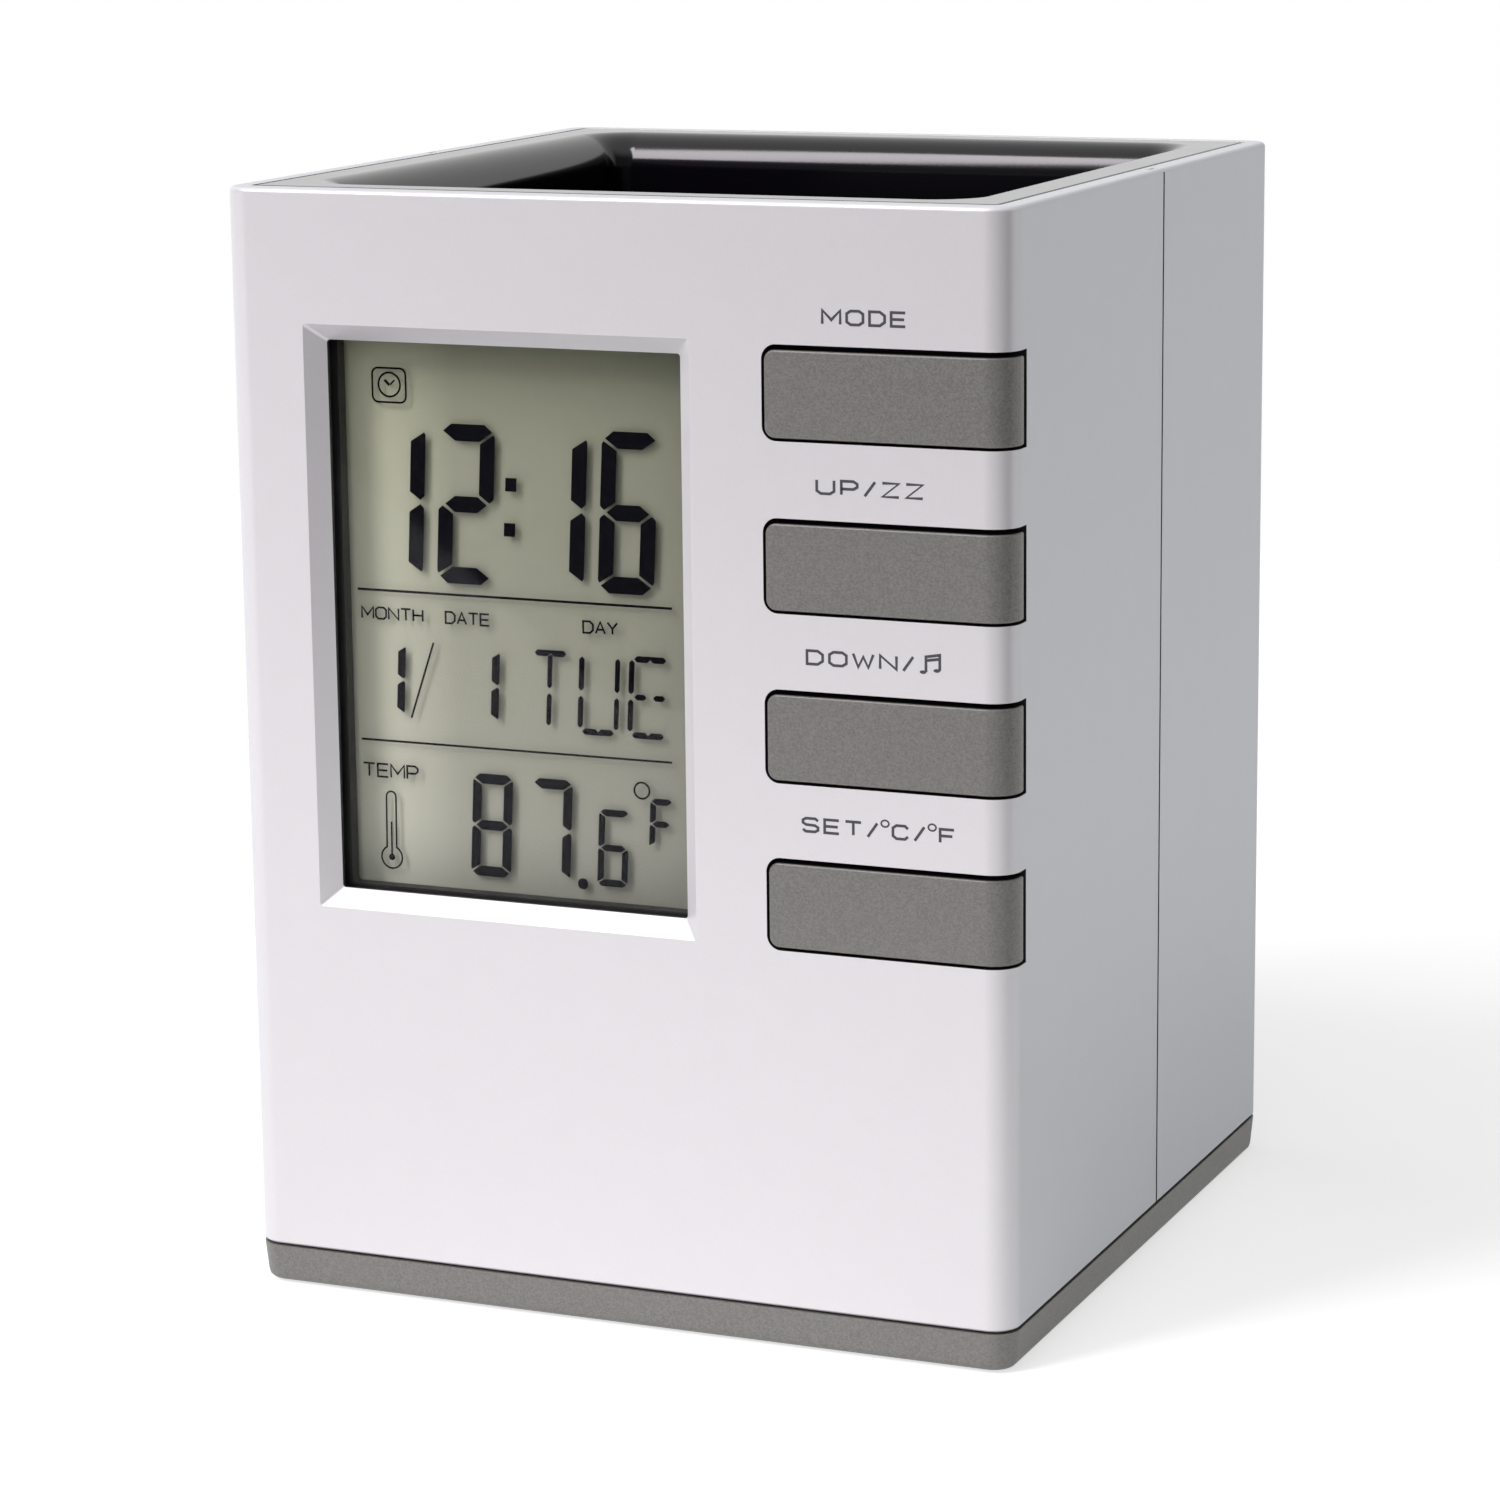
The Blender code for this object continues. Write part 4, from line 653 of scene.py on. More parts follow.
def front_cover():
    reach = SEAM_Y - FRONT_Y
    lap_x = INNER_X + TONGUE_THICKNESS + GAP
    lap = reach + SEAM_GAP - TONGUE_LENGTH - GAP
    end_steps = [(lap_x, reach), (lap_x, lap), (INNER_X, lap)]
    cover = cover_shell("front_cover_shell", reach, FRONT_WALL, end_steps, FRONT_Y, 1)
    overrun_width = FUNNEL_WIDTH * (1 + OVERRUN / FUNNEL_DEPTH)
    rings = []
    for depth, grow in ((-OVERRUN, overrun_width), (FUNNEL_DEPTH, 0), (FRONT_WALL + OVERRUN, 0)):
        rings.append(placed("Y", window_outline(grow), FRONT_Y + depth))
    cutters = [loft("window_opening", rings)]
    for button in BUTTONS:
        left, low, high = slot_box(button)
        outline = tab_outline(left, WIDTH / 2 + OVERRUN, low, high, SLOT_CORNER_RADIUS)
        slot = prism(f"{button}_slot", "Y", outline, FRONT_Y - OVERRUN, FRONT_Y + SLOT_WRAP)
        cutters.append(slot)
    combine(cover, cutters, "DIFFERENCE")
    ease(cover, OPENING_EASE, segments=3)
    install(cover, SILVER, "housing", "silver_paint", "front_cover")
    unpainted_gap_shade(cover)


def rear_cover():
    reach = BACK_Y - SEAM_Y - SEAM_GAP
    tongue_x = INNER_X + TONGUE_THICKNESS
    tip = reach + TONGUE_LENGTH
    end_steps = [(tongue_x, reach), (tongue_x, tip), (INNER_X, tip)]
    cover = cover_shell("rear_cover_shell", reach, SIDE_WALL, end_steps, BACK_Y, -1)
    ease(cover, COVER_EASE)
    install(cover, SILVER, "housing", "silver_paint", "rear_cover")
    unpainted_gap_shade(cover)


# Buttons


def button_cap(button):
    """A cap that wraps the right front corner, with its eased edges, flange, pocket and post."""
    left, slot_low, slot_high = slot_box(button)
    cap_left = left + CAP_SIDE_GAP
    low = slot_low + CAP_GAP - CAP_DROP
    high = slot_high - CAP_GAP - CAP_DROP
    depth = SLOT_WRAP - CAP_END_GAP
    radius = SLOT_CORNER_RADIUS - CAP_GAP
    outline = tab_outline(cap_left, WIDTH / 2 + OVERRUN, low, high, radius)
    cap = prism(f"{button}_cap", "Y", outline, FRONT_Y - OVERRUN, FRONT_Y + depth)
    body = rounded(-WIDTH / 2, WIDTH / 2, FRONT_Y, BACK_Y, CORNER_RADIUS)
    combine(cap, [prism("body_outline", "Z", body, slot_low, slot_high)], "INTERSECT")
    ease(cap, CAP_EASE, segments=3)
    inner_x = INNER_X - INNER_CORNER_RADIUS
    flange = rectangle(left - FLANGE_LAP, inner_x, slot_low - FLANGE_LAP, slot_high + FLANGE_LAP)
    flange_y = FRONT_Y + FRONT_WALL + GAP
    combine(cap, [prism("flange", "Y", flange, flange_y, flange_y + FLANGE_THICKNESS)], "UNION")
    pocket = rectangle(cap_left + CAP_RIM, inner_x - CAP_RIM, low + CAP_RIM, high - CAP_RIM)
    pocket_y = FRONT_Y + CAP_FACE
    combine(cap, [prism("pocket", "Y", pocket, pocket_y, FRONT_Y + depth + OVERRUN)], "DIFFERENCE")
    post = circle((left + INNER_X) / 2, (slot_low + slot_high) / 2, POST_RADIUS)
    post_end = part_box(f"{button}_switch_stem")[0].y - GAP
    combine(cap, [prism("post", "Y", post, pocket_y - OVERRUN / 2, post_end)], "UNION")
    install(cap, GREY, f"{button}_key", "button_grey", f"{button}_button")
    unpainted_gap_shade(cap)


# Pen cup


def cup_ring(side_inset, front_inset, radius, z):
    half = WIDTH / 2 - side_inset
    return placed("Z", rounded(-half, half, INK_Y + front_inset, BACK_Y - side_inset, radius), z)


def liner_inside():
    """The liner's rings from its floor up the walls and the sloping shoulder to the top of the lip."""
    fillet_top = CUP_LOW_Z + CUP_WALL + CUP_FLOOR_FILLET
    rings = []
    for inset, rise in reversed(quarter_round(CUP_FLOOR_FILLET, RIM_STEPS)):
        insets = (CUP_INSET + inset, CUP_FRONT_DEPTH + inset)
        rings.append(cup_ring(*insets, CUP_CORNER_RADIUS - inset, fillet_top - rise))
    rings.append(cup_ring(CUP_INSET, CUP_FRONT_DEPTH, CUP_CORNER_RADIUS, SHOULDER_LOW_Z))
    rings.append(cup_ring(CUP_INSET, CUP_INSET, CUP_CORNER_RADIUS, SHOULDER_TOP_Z))
    for out, rise in quarter_round(LIP_RADIUS, LIP_STEPS):
        inset = CUP_INSET - out
        rings.append(cup_ring(inset, inset, CUP_CORNER_RADIUS + out, LIP_Z + rise))
    return rings


def liner_edge():
    """The liner's rings over its outer edge, down its skirt and back up inside it."""
    skirt_z = HEIGHT - LIP_SKIRT
    levels = (
        (LIP_EDGE, HEIGHT),
        (0, HEIGHT - LIP_EDGE),
        (0, skirt_z),
        (LIP_SKIRT_WALL, skirt_z),
        (LIP_SKIRT_WALL, HEIGHT - LIP_THICKNESS),
    )
    rings = []
    for inset, z in levels:
        insets = (SIDE_WALL + GAP + inset, FRONT_WALL + GAP + inset)
        rings.append(cup_ring(*insets, INNER_CORNER_RADIUS - GAP, z))
    return rings


def liner_outside():
    """The liner's rings from under the lip down its outer walls to its bottom."""
    side = CUP_INSET - CUP_WALL
    front = CUP_FRONT_DEPTH - CUP_WALL
    radius = CUP_CORNER_RADIUS + CUP_WALL
    lag = CUP_WALL * math.tan(SHOULDER_ANGLE / 2)
    rings = []
    for out, rise in reversed(quarter_round(LIP_RADIUS - LIP_THICKNESS, FINE_STEPS)):
        rings.append(cup_ring(side - out, side - out, radius + out, LIP_Z + rise))
    rings.append(cup_ring(side, side, radius, SHOULDER_TOP_Z - lag))
    rings.append(cup_ring(side, front, radius, SHOULDER_LOW_Z - lag))
    rings.append(cup_ring(side, front, radius, CUP_LOW_Z + CUP_EDGE))
    rings.append(cup_ring(side + CUP_EDGE, front + CUP_EDGE, radius - CUP_EDGE, CUP_LOW_Z))
    return rings


def pen_liner():
    """The black liner: a deep cup under a wide rounded lip, its front wall stepped back for the clock."""
    liner = loft("pen_liner", liner_inside() + liner_edge() + liner_outside())
    install(liner, CUP_BLACK, "housing", "cup_black", "inner_cup")


# Display stack


def window_slab(name, grow, low_y, high_y, radius=WINDOW_CORNER_RADIUS):
    """A slab in the opening's outline, grown on all sides."""
    return prism(name, "Y", window_outline(grow, radius), low_y, high_y)


def display_window():
    """The clear window behind the funnel."""
    window = window_slab("display_window", LENS_LAP, LENS_LOW.y, LENS_HIGH.y, LENS_CORNER_RADIUS)
    ease(window, COVER_EASE / 2)
    install(window, LENS_CLEAR, "housing", "lens_clear", "display_lens")


def display_bezel():
    """The black frame behind the window, with the opening in its face and the cell's tray."""
    low_y, high_y = (corner.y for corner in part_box("lcd_frame"))
    tray_y = low_y + FRAME_FACE
    bezel = window_slab("display_bezel", FRAME_GROW, low_y, high_y, WINDOW_CORNER_RADIUS * 2)
    opening = window_slab("bezel_opening", 0, low_y - OVERRUN, tray_y + OVERRUN)
    tray = window_slab("bezel_tray", PANEL_LAP + GAP, tray_y, high_y + OVERRUN)
    combine(bezel, [opening, tray], "DIFFERENCE")
    ease(bezel, COVER_EASE)
    install(bezel, FRAME_BLACK, "housing", "frame_black", "lcd_frame")


def display_cell():
    """The cell's front glass, seal, and film with the rear glass. Gives the front glass's back."""
    panel_low, panel_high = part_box("lcd_panel")
    middle = (panel_low.y + panel_high.y) / 2
    sheet_back = panel_low.y + FRONT_SHEET
    film_y = panel_low.y + FILM_DEPTH
    sheet = window_slab("display_front_glass", PANEL_LAP, panel_low.y, sheet_back)
    install(sheet, LCD_GLASS, "housing", "lcd_glass")

    seal = window_slab("display_cell_seal", PANEL_LAP, sheet_back, film_y)
    opening = window_slab("seal_opening", PANEL_LAP - SEAL_WIDTH, panel_low.y, film_y + OVERRUN)
    combine(seal, [opening], "DIFFERENCE")
    install(seal, FRAME_BLACK, "housing", "frame_black")

    film = window_slab("display_film", PANEL_LAP, film_y, middle)
    side = PANEL_LAP - GAP
    ledges = (panel_low.z + CONTACT_LEDGE, panel_high.z - CONTACT_LEDGE)
    rear = rectangle(WINDOW_LEFT - side, WINDOW_RIGHT + side, *ledges)
    combine(film, [prism("rear_glass", "Y", rear, middle - GAP / 2, panel_high.y)], "UNION")
    install(film, LCD_FILM, "housing", "lcd_glass", "lcd_panel")
    return sheet_back


# Strokes and lettering, in millimetres on a face that looks towards -Y

MITRE_LIMIT = 0.6


def stroke(path, width, low_y, high_y, closed=False):
    """A flat mitred stroke along (x, z) points, as points and faces in metres."""
    rings = []
    last = len(path) - 1
    for i, point in enumerate(path):
        here = Vector(point)
        ways = []
        if closed or i:
            ways.append(here - Vector(path[i - 1]))
        if closed or i < last:
            ways.append(Vector(path[(i + 1) % len(path)]) - here)
        sides = [Vector((-way.y, way.x)).normalized() for way in ways]
        side = sum(sides, Vector((0, 0))).normalized()
        reach = width / 2 / max(side.dot(sides[0]), MITRE_LIMIT)
        left = (here + side * reach) * MM
        right = (here - side * reach) * MM
        rings.append(placed("Y", (left, right), low_y) + placed("Y", (right, left), high_y))
    return skin(rings, closed)


def plate(outline, low_y, high_y):
    """A flat shape from its (x, z) outline, as points and faces in metres."""
    scaled = [(x * MM, z * MM) for x, z in outline]
    return skin([placed("Y", scaled, low_y), placed("Y", scaled, high_y)])


# Each letter: its width as a share of its height, and its strokes in a unit box. A stroke whose
# ends meet is closed. The small o is a degree ring and the small n a beamed note.
ROUND_O = [(0.24, 0), (0.76, 0), (1, 0.2), (1, 0.8), (0.76, 1), (0.24, 1), (0, 0.8), (0, 0.2), (0.24, 0)]
LETTERS = {
    "A": (0.92, [[(0, 0), (0.5, 1), (1, 0)], [(0.2, 0.34), (0.8, 0.34)]]),
    "C": (0.94, [[(1, 0.8), (0.8, 1), (0.24, 1), (0, 0.8), (0, 0.2), (0.24, 0), (0.8, 0), (1, 0.2)]]),
    "D": (0.97, [[(0, 0), (0, 1), (0.68, 1), (1, 0.74), (1, 0.26), (0.68, 0), (0, 0)]]),
    "E": (0.9, [[(1, 1), (0, 1), (0, 0), (1, 0)], [(0, 0.5), (0.92, 0.5)]]),
    "F": (0.86, [[(1, 1), (0, 1), (0, 0)], [(0, 0.5), (0.88, 0.5)]]),
    "H": (0.95, [[(0, 0), (0, 1)], [(1, 0), (1, 1)], [(0, 0.5), (1, 0.5)]]),
    "M": (1.16, [[(0, 0), (0, 1), (0.5, 0.3), (1, 1), (1, 0)]]),
    "N": (1.0, [[(0, 0), (0, 1), (1, 0), (1, 1)]]),
    "O": (1.05, [ROUND_O]),
    "P": (0.92, [[(0, 0), (0, 1), (0.76, 1), (1, 0.82), (1, 0.6), (0.76, 0.42), (0, 0.42)]]),
    "S": (
        0.96,
        [
            [(1, 0.84), (0.82, 1), (0.2, 1), (0, 0.86), (0, 0.66), (0.2, 0.52)]
            + [(0.8, 0.48), (1, 0.34), (1, 0.14), (0.8, 0), (0.18, 0), (0, 0.16)]
        ],
    ),
    "T": (0.98, [[(0, 1), (1, 1)], [(0.5, 0), (0.5, 1)]]),
    "U": (1.0, [[(0, 1), (0, 0.2), (0.24, 0), (0.76, 0), (1, 0.2), (1, 1)]]),
    "W": (1.24, [[(0, 1), (0.25, 0), (0.5, 0.8), (0.75, 0), (1, 1)]]),
    "Y": (0.95, [[(0, 1), (0.5, 0.48), (1, 1)], [(0.5, 0), (0.5, 0.48)]]),
    "Z": (0.94, [[(0, 1), (1, 1), (0, 0), (1, 0)]]),
    "/": (0.6, [[(0, -0.04), (1, 1.04)]]),
    "o": (0.48, [[(x, 0.82 + 0.5 * z) for x, z in circle(0.5, 0.5, 0.5, 20)]]),
    "n": (1.2, [[(0.3, -0.02), (0.3, 1.12), (1, 1.3), (1, 0.14)], [(0.3, 0.84), (1, 1.0)]]),
}
NOTE_HEADS = ((0.15, -0.04), (0.85, 0.12))
NOTE_HEAD_RADIUS = 0.17
NOTE_HEAD_RISE = 0.8
NOTE_HEAD_STEPS = 16
RING_LINE_SHARE = 0.62
RING_GAP_SHARE = 0.6
# Strokes that cross lie this far apart in depth
LAYER = 0.0005 * MM


def note_heads(x, z, width, rise, low_y, high_y):
    """The two oval heads of the beamed note."""
    solids = []
    for u, v in NOTE_HEADS:
        oval = circle(0, 0, NOTE_HEAD_RADIUS, NOTE_HEAD_STEPS)
        head = [(x + (u + du) * width, z + (v + dv * NOTE_HEAD_RISE) * rise) for du, dv in oval]
        solids.append(plate(head, low_y, high_y))
    return solids


def lettering(text, left, low, height, width, weight, spacing, front_y, back_y):
    """Solids of a line of text between two X places. Gaps are stretched to fill the width."""
    shares = [LETTERS[letter][0] for letter in text]
    gaps = [spacing * (RING_GAP_SHARE if "o" in pair else 1) for pair in zip(text, text[1:])]
    scale = (width - weight) / (sum(shares) + sum(gaps))
    solids = []
    x = left + weight / 2
    z = low + weight / 2
    rise = height - weight
    for letter, share, gap in zip(text, shares, [*gaps, 0]):
        line = weight * (RING_LINE_SHARE if letter == "o" else 1)
        for layer, path in enumerate(LETTERS[letter][1]):
            closed = path[0] == path[-1] or letter == "o"
            points = path[:-1] if path[0] == path[-1] else path
            spots = [(x + u * share * scale, z + v * rise) for u, v in points]
            solids.append(stroke(spots, line, front_y + layer * LAYER, back_y, closed))
        if letter == "n":
            solids += note_heads(x, z, share * scale, rise, front_y + 3 * LAYER, back_y)
        x += (share + gap) * scale
    return solids


# The labels' layout: left end, foot and width of each
LABEL_HEIGHT = 1.5
LABEL_LINE = 0.26
LABEL_SPACING = 0.42
LABELS = {
    "MODE": (21.67, 97.96, 8.3),
    "UP/ZZ": (21.0, 82.43, 10.6),
    "DOWN/n": (19.9, 66.53, 13.3),
    "SET/oC/oF": (19.35, 50.7, 15.2),
}


def labels():
    """Plain function words over the buttons, printed on the front cover."""
    solids = []
    for text, (left, low, width) in LABELS.items():
        size = (LABEL_HEIGHT, width, LABEL_LINE, LABEL_SPACING)
        solids += lettering(text, left, low, *size, INK_Y, FRONT_Y + DRAWING_SINK)
    install(merged("button_labels", solids), LABEL_INK, "housing", None)


# The display's drawing, its layout in millimetres

SLANT = 0.05
FINE_LINE = 0.19

# Digits: width, height and bar of each kind, then each mark with its left end and foot
TIME_DIGIT = (5.83, 15.5, 1.56)
DATE_DIGIT = (3.68, 7.5, 0.82)
DEGREE_DIGIT = (4.28, 10.2, 0.96)
TENTHS_DIGIT = (3.19, 7.6, 0.66)
UNIT_LETTER = (2.36, 5.0, 0.62)
DIGITS = (
    ("1", -28.09, 71.0, TIME_DIGIT),
    ("2", -20.71, 71.0, TIME_DIGIT),
    ("1", -11.01, 71.0, TIME_DIGIT),
    ("6", -3.69, 71.0, TIME_DIGIT),
    ("1", -28.3, 57.45, DATE_DIGIT),
    ("1", -18.17, 57.45, DATE_DIGIT),
    ("8", -17.8, 42.3, DEGREE_DIGIT),
    ("7", -11.44, 42.3, DEGREE_DIGIT),
    ("6", -4.29, 42.36, TENTHS_DIGIT),
    ("F", 1.24, 46.4, UNIT_LETTER),
)

# A digit's bars by their usual letters, and the bars' corners as shares of a bar's width
DIGIT_BARS = {"1": "bc", "2": "abged", "6": "afgedc", "7": "abc", "8": "abcdefg", "F": "afge"}
TOP_SHARES = ((1.05, 1.05), (0.2, 0.45), (0.74, 0))
SIDE_TOP_SHARES = ((1, 1.2), (0.1, 0.62), (0, 0.8))
SIDE_FOOT_SHARES = ((0, 0.38), (0.27, 0.13), (1, 0.63))
LEVEL_SHARES = (0.45, 1.1)

# The day row: each letter's left end, and the bars of its cell
DAY_LETTERS = {"T": -11.04, "U": -5.82, "E": -0.59}
DAY_LOW = 57.12
CELL_WIDTH = 3.76
CELL_HEIGHT = 8.0
CELL_BAR = 0.56
CELL_THIN_BAR = 0.9 * CELL_BAR
CELL_LEVEL_BAR = 1.1 * CELL_BAR
CELL_LEVEL_ENDS = (0.22, 3.56)
CELL_TICK_ENDS = ((0.35, 1.63), (2.3, 3.58))
CELL_UPRIGHT_ENDS = ((0.62, 3.78), (4.25, 7.6))

# Words: left end, foot, height and width
WORD_SPACING = 0.26
WORDS = {
    "MONTH": (-29.05, 66.98, 1.3, 6.78),
    "DATE": (-19.98, 66.98, 1.3, 4.85),
    "DAY": (-5.36, 66.95, 1.3, 3.75),
    "TEMP": (-29.36, 51.28, 1.46, 6.12),
}

# Rules, dots and signs
RULES = (rectangle(-29.36, 4.02, 69.78, 70.02), rectangle(-29.39, 3.79, 54.92, 55.13))
COLON_DOT = rectangle(0, 1.17, 0, 1.3)
COLON_PLACES = ((-13.21, 80.24), (-13.45, 75.88))
DECIMAL_POINT = circle(-5.78, 42.4, 0.55, 24)
DEGREE_RING = circle(0.6, 52.07, 0.79, 32)
SLASH = ((-23.86, 57.47), (-21.27, 65.05))
SLASH_LINE = 0.2
CLOCK_SQUARE = rounded(-27.13, -23.55, 88.27, 91.57, 0.6, FINE_STEPS)
CLOCK_DIAL = circle(-25.31, 89.98, 1.16, 40)
THICK_HAND = ((-25.29, 89.92), (-25.81, 90.42))
THICK_HAND_LINE = 0.26
THIN_HAND = ((-25.21, 89.98), (-24.73, 90.44))
THIN_HAND_LINE = 0.16
BULB_PLACE = (-26.4, 43.38)
BULB_RADIUS = 1.12
BULB_STEPS = 36
DROP = circle(*BULB_PLACE, 0.33, 20)
TUBE_TOP = (-26.325, 49.45)
TUBE_RADIUS = 0.52
TUBE_LINE = 0.17
TUBE_STEPS = 10
COLUMN = ((-26.4, 43.66), (-26.3625, 46.93))
COLUMN_LINE = 0.16


def digit_bars(width, height, bar):
    """Outlines of a digit's seven bars by their usual letters, from its lower left corner."""
    middle = height / 2
    across = [(u * bar, height - v * bar) for u, v in TOP_SHARES]
    across += [(width - u, v) for u, v in reversed(across)]
    side = [(width - u * bar, height - v * bar) for u, v in SIDE_TOP_SHARES]
    side += [(width - u * bar, middle + v * bar) for u, v in SIDE_FOOT_SHARES]
    tip, bend = (share * bar for share in LEVEL_SHARES)
    level = [(tip, middle), (bend, middle + bar / 2), (width - bend, middle + bar / 2)]
    level += [(width - u, height - v) for u, v in level]

    def left_of(outline):
        return [(width - u, v) for u, v in outline]

    def under(outline):
        return [(u, height - v) for u, v in outline]

    return {
        "a": across,
        "b": side,
        "c": under(side),
        "d": under(across),
        "e": under(left_of(side)),
        "f": left_of(side),
        "g": level,
    }


def slanted(outline, left, low):
    return [(left + u + SLANT * v, low + v) for u, v in outline]


def digit(mark, left, low, width, height, bar):
    bars = digit_bars(width, height, bar)
    return [slanted(bars[letter], left, low) for letter in DIGIT_BARS[mark]]


def upright_bar(u, low, high, bar):
    """A narrow bar with pointed ends."""
    half = bar / 2
    right = [(u, low), (u + half, low + half), (u + half, high - half)]
    return right + [(u, high), (u - half, high - half), (u - half, low + half)]


def level_bar(left, right, low, high, notch=None):
    """A level bar with pointed ends, and a notch in its low or high side if one is asked for."""
    half = (high - low) / 2
    centre = (left + right) / 2
    middle = (low + high) / 2
    outline = [(left + half, high), (left, middle), (left + half, low)]
    outline += [(right - half, low), (right, middle), (right - half, high)]
    if notch:
        outline += [(centre + half, high), (centre, middle), (centre - half, high)]
    if notch == "low":
        outline = [(u, low + high - v) for u, v in outline]
    return outline


def day_letter(mark, left, low):
    """Outlines of T, U or E in the day row."""
    middle = CELL_HEIGHT / 2
    half = CELL_BAR / 2
    top = level_bar(*CELL_LEVEL_ENDS, CELL_HEIGHT - CELL_LEVEL_BAR, CELL_HEIGHT, "low")
    bottom = level_bar(*CELL_LEVEL_ENDS, 0, CELL_LEVEL_BAR, "high")
    ticks = [level_bar(*ends, middle - half, middle + half) for ends in CELL_TICK_ENDS]
    left_side = [upright_bar(0, *ends, CELL_BAR) for ends in CELL_UPRIGHT_ENDS]
    right_side = [upright_bar(CELL_WIDTH, *ends, CELL_THIN_BAR) for ends in CELL_UPRIGHT_ENDS]
    stem = [upright_bar(CELL_WIDTH / 2, *ends, CELL_THIN_BAR) for ends in CELL_UPRIGHT_ENDS]
    shapes = {
        "T": [top, *stem],
        "U": [*left_side, *right_side, bottom],
        "E": [*left_side, top, bottom, *ticks],
    }
    return [slanted(outline, left, low) for outline in shapes[mark]]


def clock_icon(front_y, back_y):
    """A dial with two hands in a rounded square."""
    return [
        stroke(CLOCK_SQUARE, FINE_LINE, front_y, back_y, closed=True),
        stroke(CLOCK_DIAL, FINE_LINE, front_y, back_y, closed=True),
        stroke(THICK_HAND, THICK_HAND_LINE, front_y, back_y),
        stroke(THIN_HAND, THIN_HAND_LINE, front_y, back_y),
    ]


def thermometer_icon(front_y, back_y):
    """An outline tube with a bulb, and the column in it."""
    join = math.degrees(math.asin(TUBE_RADIUS / BULB_RADIUS))
    outline = arc(BULB_PLACE, BULB_RADIUS, 90 + join, 360 + 90 - join, BULB_STEPS)
    outline += arc(TUBE_TOP, TUBE_RADIUS, 0, 180, TUBE_STEPS)
    return [
        stroke(outline, TUBE_LINE, front_y, back_y, closed=True),
        stroke(COLUMN, COLUMN_LINE, front_y, back_y),
        plate(DROP, front_y + LAYER, back_y),
    ]


def display_drawing(sheet_back):
    """Digits, calendar, thermometer and rules, on the back of the front glass."""
    front = sheet_back - DRAWING_SINK
    back = front + DRAWING_THICKNESS
    outlines = [DECIMAL_POINT, *RULES]
    outlines += [slanted(COLON_DOT, *spot) for spot in COLON_PLACES]
    for mark, left, low, size in DIGITS:
        outlines += digit(mark, left, low, *size)
    for mark, left in DAY_LETTERS.items():
        outlines += day_letter(mark, left, DAY_LOW)
    solids = [plate(outline, front, back) for outline in outlines]
    solids.append(stroke(SLASH, SLASH_LINE, front, back))
    solids.append(stroke(DEGREE_RING, FINE_LINE, front, back, closed=True))
    solids += clock_icon(front, back)
    solids += thermometer_icon(front, back)
    for text, (left, low, height, width) in WORDS.items():
        solids += lettering(text, left, low, height, width, FINE_LINE, WORD_SPACING, front, back)
    install(merged("display_drawing", solids), LCD_INK, "housing", None)


# Pieces carried over from the CAD

CORNERS = ("front_left", "front_right", "rear_left", "rear_right")
INNER_LOOKS = {
    "contact_strip_upper": STRIP_RUBBER,
    "contact_strip_lower": STRIP_RUBBER,
    "circuit_board": BOARD_GREEN,
    "controller_chip": CHIP_BLACK,
    "crystal_can": STEEL,
    "capacitor": OCHRE,
    "thermistor": BROWN,
    "piezo_buzzer": BRASS,
    "contact_link": NICKEL,
    "contact_positive": NICKEL,
    "contact_negative": NICKEL,
    "battery_wire_red": WIRE_RED,
    "battery_wire_black": WIRE_BLACK,
    "buzzer_wire_left": WIRE_GREY,
    "buzzer_wire_right": WIRE_GREY,
}
for button in BUTTONS:
    INNER_LOOKS[f"{button}_switch_body"] = SWITCH_BLACK
    INNER_LOOKS[f"{button}_switch_stem"] = IVORY
for number in (1, 2):
    INNER_LOOKS[f"battery_cell_{number}"] = CELL_JACKET
    INNER_LOOKS[f"contact_spring_{number}"] = NICKEL
for number in range(1, 5):
    INNER_LOOKS[f"board_screw_{number}"] = STEEL
    INNER_LOOKS[f"base_screw_{number}"] = STEEL


def under_parts():
    """The base, the battery door and the feet, with eased edges."""
    base = refined("base_plate", "base_tray", BASE_EASE)
    install(base, GREY, "housing", "base_grey", "base_plate")
    door = refined("battery_door", "battery_hatch", DOOR_EASE)
    install(door, GREY, "door", "base_grey", "battery_door")
    for corner in CORNERS:
        foot = refined(f"foot_{corner}", f"foot_pad_{corner}", FOOT_EASE)
        install(foot, FOOT_RUBBER, "housing", "foot_rubber", f"foot_{corner}")


def inner_pieces():
    """Gives the CAD nodes inside the holder their own materials."""
    for name, material in INNER_LOOKS.items():
        node = NODES[name]
        if not node.material_slots:
            node.data.materials.append(material)
        for holder in node.material_slots:
            holder.material = material


# Camera, floor and light

CAMERA_AZIMUTH = math.radians(23.044)
CAMERA_ELEVATION = math.radians(11.891)
CAMERA_ROLL = math.radians(-0.639)
CAMERA_DISTANCE = 471.08 * MM
CAMERA_TARGET = Vector((-2.78, 0, 48.974)) * MM
LENS_LENGTH = 110.22
SENSOR_WIDTH = 36
CLIP_START = 0.01
CLIP_END = 20


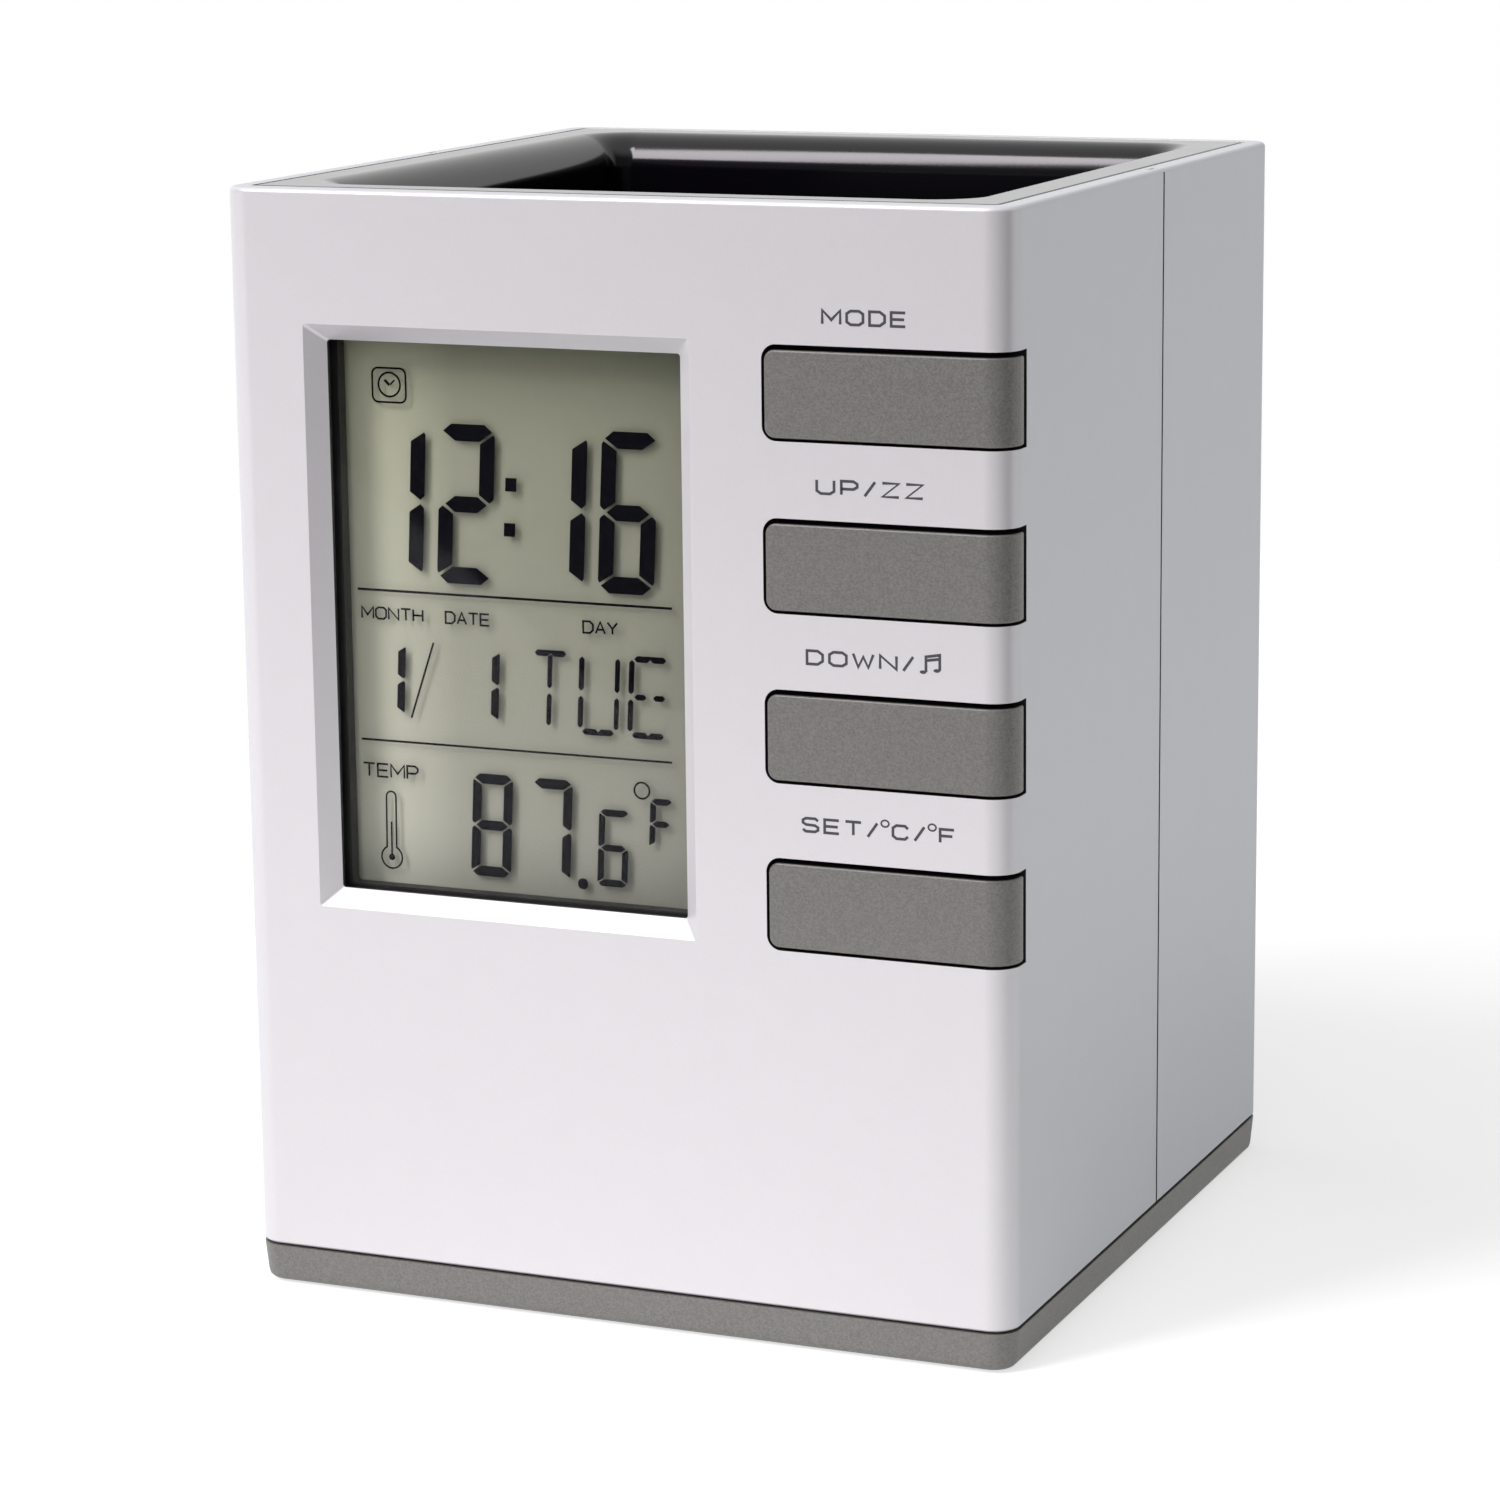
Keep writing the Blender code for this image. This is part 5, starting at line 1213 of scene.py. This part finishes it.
def camera():
    """The photograph's viewpoint: right of the front face and a little above it."""
    data = bpy.data.cameras.new("camera")
    data.lens = LENS_LENGTH
    data.sensor_width = SENSOR_WIDTH
    data.clip_start = CLIP_START
    data.clip_end = CLIP_END
    obj = linked("camera", data)
    right = Vector((math.cos(CAMERA_AZIMUTH), math.sin(CAMERA_AZIMUTH), 0))
    ahead = Vector((right.y, -right.x, 0))
    back = ahead * math.cos(CAMERA_ELEVATION) + Vector((0, 0, math.sin(CAMERA_ELEVATION)))
    up = back.cross(right)
    turn = Matrix((right, up, back)).transposed().to_4x4() @ Matrix.Rotation(CAMERA_ROLL, 4, "Z")
    obj.matrix_world = Matrix.Translation(CAMERA_TARGET + back * CAMERA_DISTANCE) @ turn
    bpy.context.scene.camera = obj


# White paper under the object, a background that is white behind it and overhead, for the camera and
# in reflections, and a darker room in front
PAPER_OUTLINE = (
    (-0.127, -0.313),
    (-0.9, -1.34),
    (-1.4, -1.34),
    (-1.4, 0.42),
    (1.2, 0.42),
    (1.2, 0.0),
    (0.24, 0.0),
    (0.24, -0.313),
)
PAPER_THICKNESS = 0.5 * MM
FOOT_CLEARANCE = 0.05 * MM
PAPER_WHITE = 0.7
PAPER_ROUGHNESS = 0.9
PAPER_GLOW = 0.64
ROOM_LOW = 0.06
ROOM_FRONT = 0.14
HORIZON_LIGHT = 0.75
CEILING_LIGHT = 1.1
LIT_SIDE = (-0.45, -0.893, 0.0)
NEAR_LIGHT = 1.45
FAR_LIGHT = 0.0
TURN_START = -0.15
DOME_TOP = 0.7
BACKDROP_START = -0.1
BACKDROP_END = 0.3
CEILING_START = 0.5
CEILING_END = 0.8

# The key light: a softbox at the upper left
KEY_PLACE = (-0.374, -0.57, 0.757)
KEY_WIDTH = 0.25
KEY_HEIGHT = 0.62
KEY_POWER = 5.4
KEY_COLOUR = (1.0, 0.94, 0.99)


def paper():
    """The white paper that keeps the object's shadow."""
    obj = prism("paper", "Z", PAPER_OUTLINE, -PAPER_THICKNESS, -FOOT_CLEARANCE)
    material = look("paper_white", (PAPER_WHITE,) * 3, PAPER_ROUGHNESS, Emission_Color=(1, 1, 1, 1))
    path = add(material, "ShaderNodeLightPath").outputs
    seen = either(material, path["Is Camera Ray"], path["Is Glossy Ray"], path["Is Transmission Ray"])
    feed(material, "Emission Strength", between(material, seen, 0.0, PAPER_GLOW))
    obj.data.materials.append(material)


def either(material, *shares):
    """The largest of several sockets' values."""
    result = shares[0]
    for share in shares[1:]:
        result = maths(material, "MAXIMUM", result, share)
    return result


def blend(material, share, low, high):
    """low where the share is 0 and high where it is 1; either may be a value or a socket."""
    inputs = {MIX_SHARE: share, MIX_LOW: low, MIX_HIGH: high}
    return add(material, "ShaderNodeMix", inputs, data_type="FLOAT").outputs[MIX_VALUE]


def world():
    """White for the camera, and behind and overhead for metal and glass too, which see a dark room in
    front; for the rest a plain light, stronger from above and from the key's side."""
    made = bpy.data.worlds.new("studio")
    made.use_nodes = True
    bpy.context.scene.world = made
    background = made.node_tree.nodes["Background"]
    background.inputs["Color"].default_value = (1, 1, 1, 1)
    path = add(made, "ShaderNodeLightPath").outputs
    way = add(made, "ShaderNodeTexCoord").outputs["Generated"]
    parts = add(made, "ShaderNodeSeparateXYZ", {"Vector": way}).outputs
    above = maths(made, "GREATER_THAN", parts["Z"], 0.0)
    overhead = between(made, parts["Z"], 0.0, 1.0, CEILING_START, CEILING_END)
    behind = between(made, parts["Y"], 0.0, 1.0, BACKDROP_START, BACKDROP_END)
    mirrored = maths(made, "MULTIPLY", path["Is Glossy Ray"], either(made, overhead, behind))
    white = either(made, path["Is Camera Ray"], path["Is Transmission Ray"], mirrored)
    rising = between(made, parts["Z"], HORIZON_LIGHT, CEILING_LIGHT, 0.0, DOME_TOP)
    facing = add(made, "ShaderNodeVectorMath", {0: way, 1: LIT_SIDE}, operation="DOT_PRODUCT")
    turning = between(made, facing.outputs["Value"], FAR_LIGHT, NEAR_LIGHT, TURN_START, 1.0)
    room = blend(made, path["Is Glossy Ray"], maths(made, "MULTIPLY", rising, turning), ROOM_FRONT)
    strength = blend(made, white, blend(made, above, ROOM_LOW, room), 1.0)
    made.node_tree.links.new(strength, background.inputs["Strength"])


def key_light():
    """A rectangular lamp that looks at the middle of the object."""
    data = bpy.data.lights.new("key", "AREA")
    data.shape = "RECTANGLE"
    data.size = KEY_WIDTH
    data.size_y = KEY_HEIGHT
    data.energy = KEY_POWER
    data.color = KEY_COLOUR
    obj = linked("key", data)
    obj.location = KEY_PLACE
    obj.rotation_mode = "QUATERNION"
    way = Vector((0, 0, HEIGHT / 2)) - Vector(KEY_PLACE)
    obj.rotation_quaternion = way.to_track_quat("-Z", "Y")


def build():
    camera()
    front_cover()
    rear_cover()
    for button in BUTTONS:
        button_cap(button)
    pen_liner()
    display_window()
    display_bezel()
    sheet_back = display_cell()
    display_drawing(sheet_back)
    labels()
    under_parts()
    inner_pieces()
    paper()
    world()
    key_light()
    scene = bpy.context.scene
    scene.view_settings.view_transform = "Standard"
    scene.cycles.use_denoising = True


build()
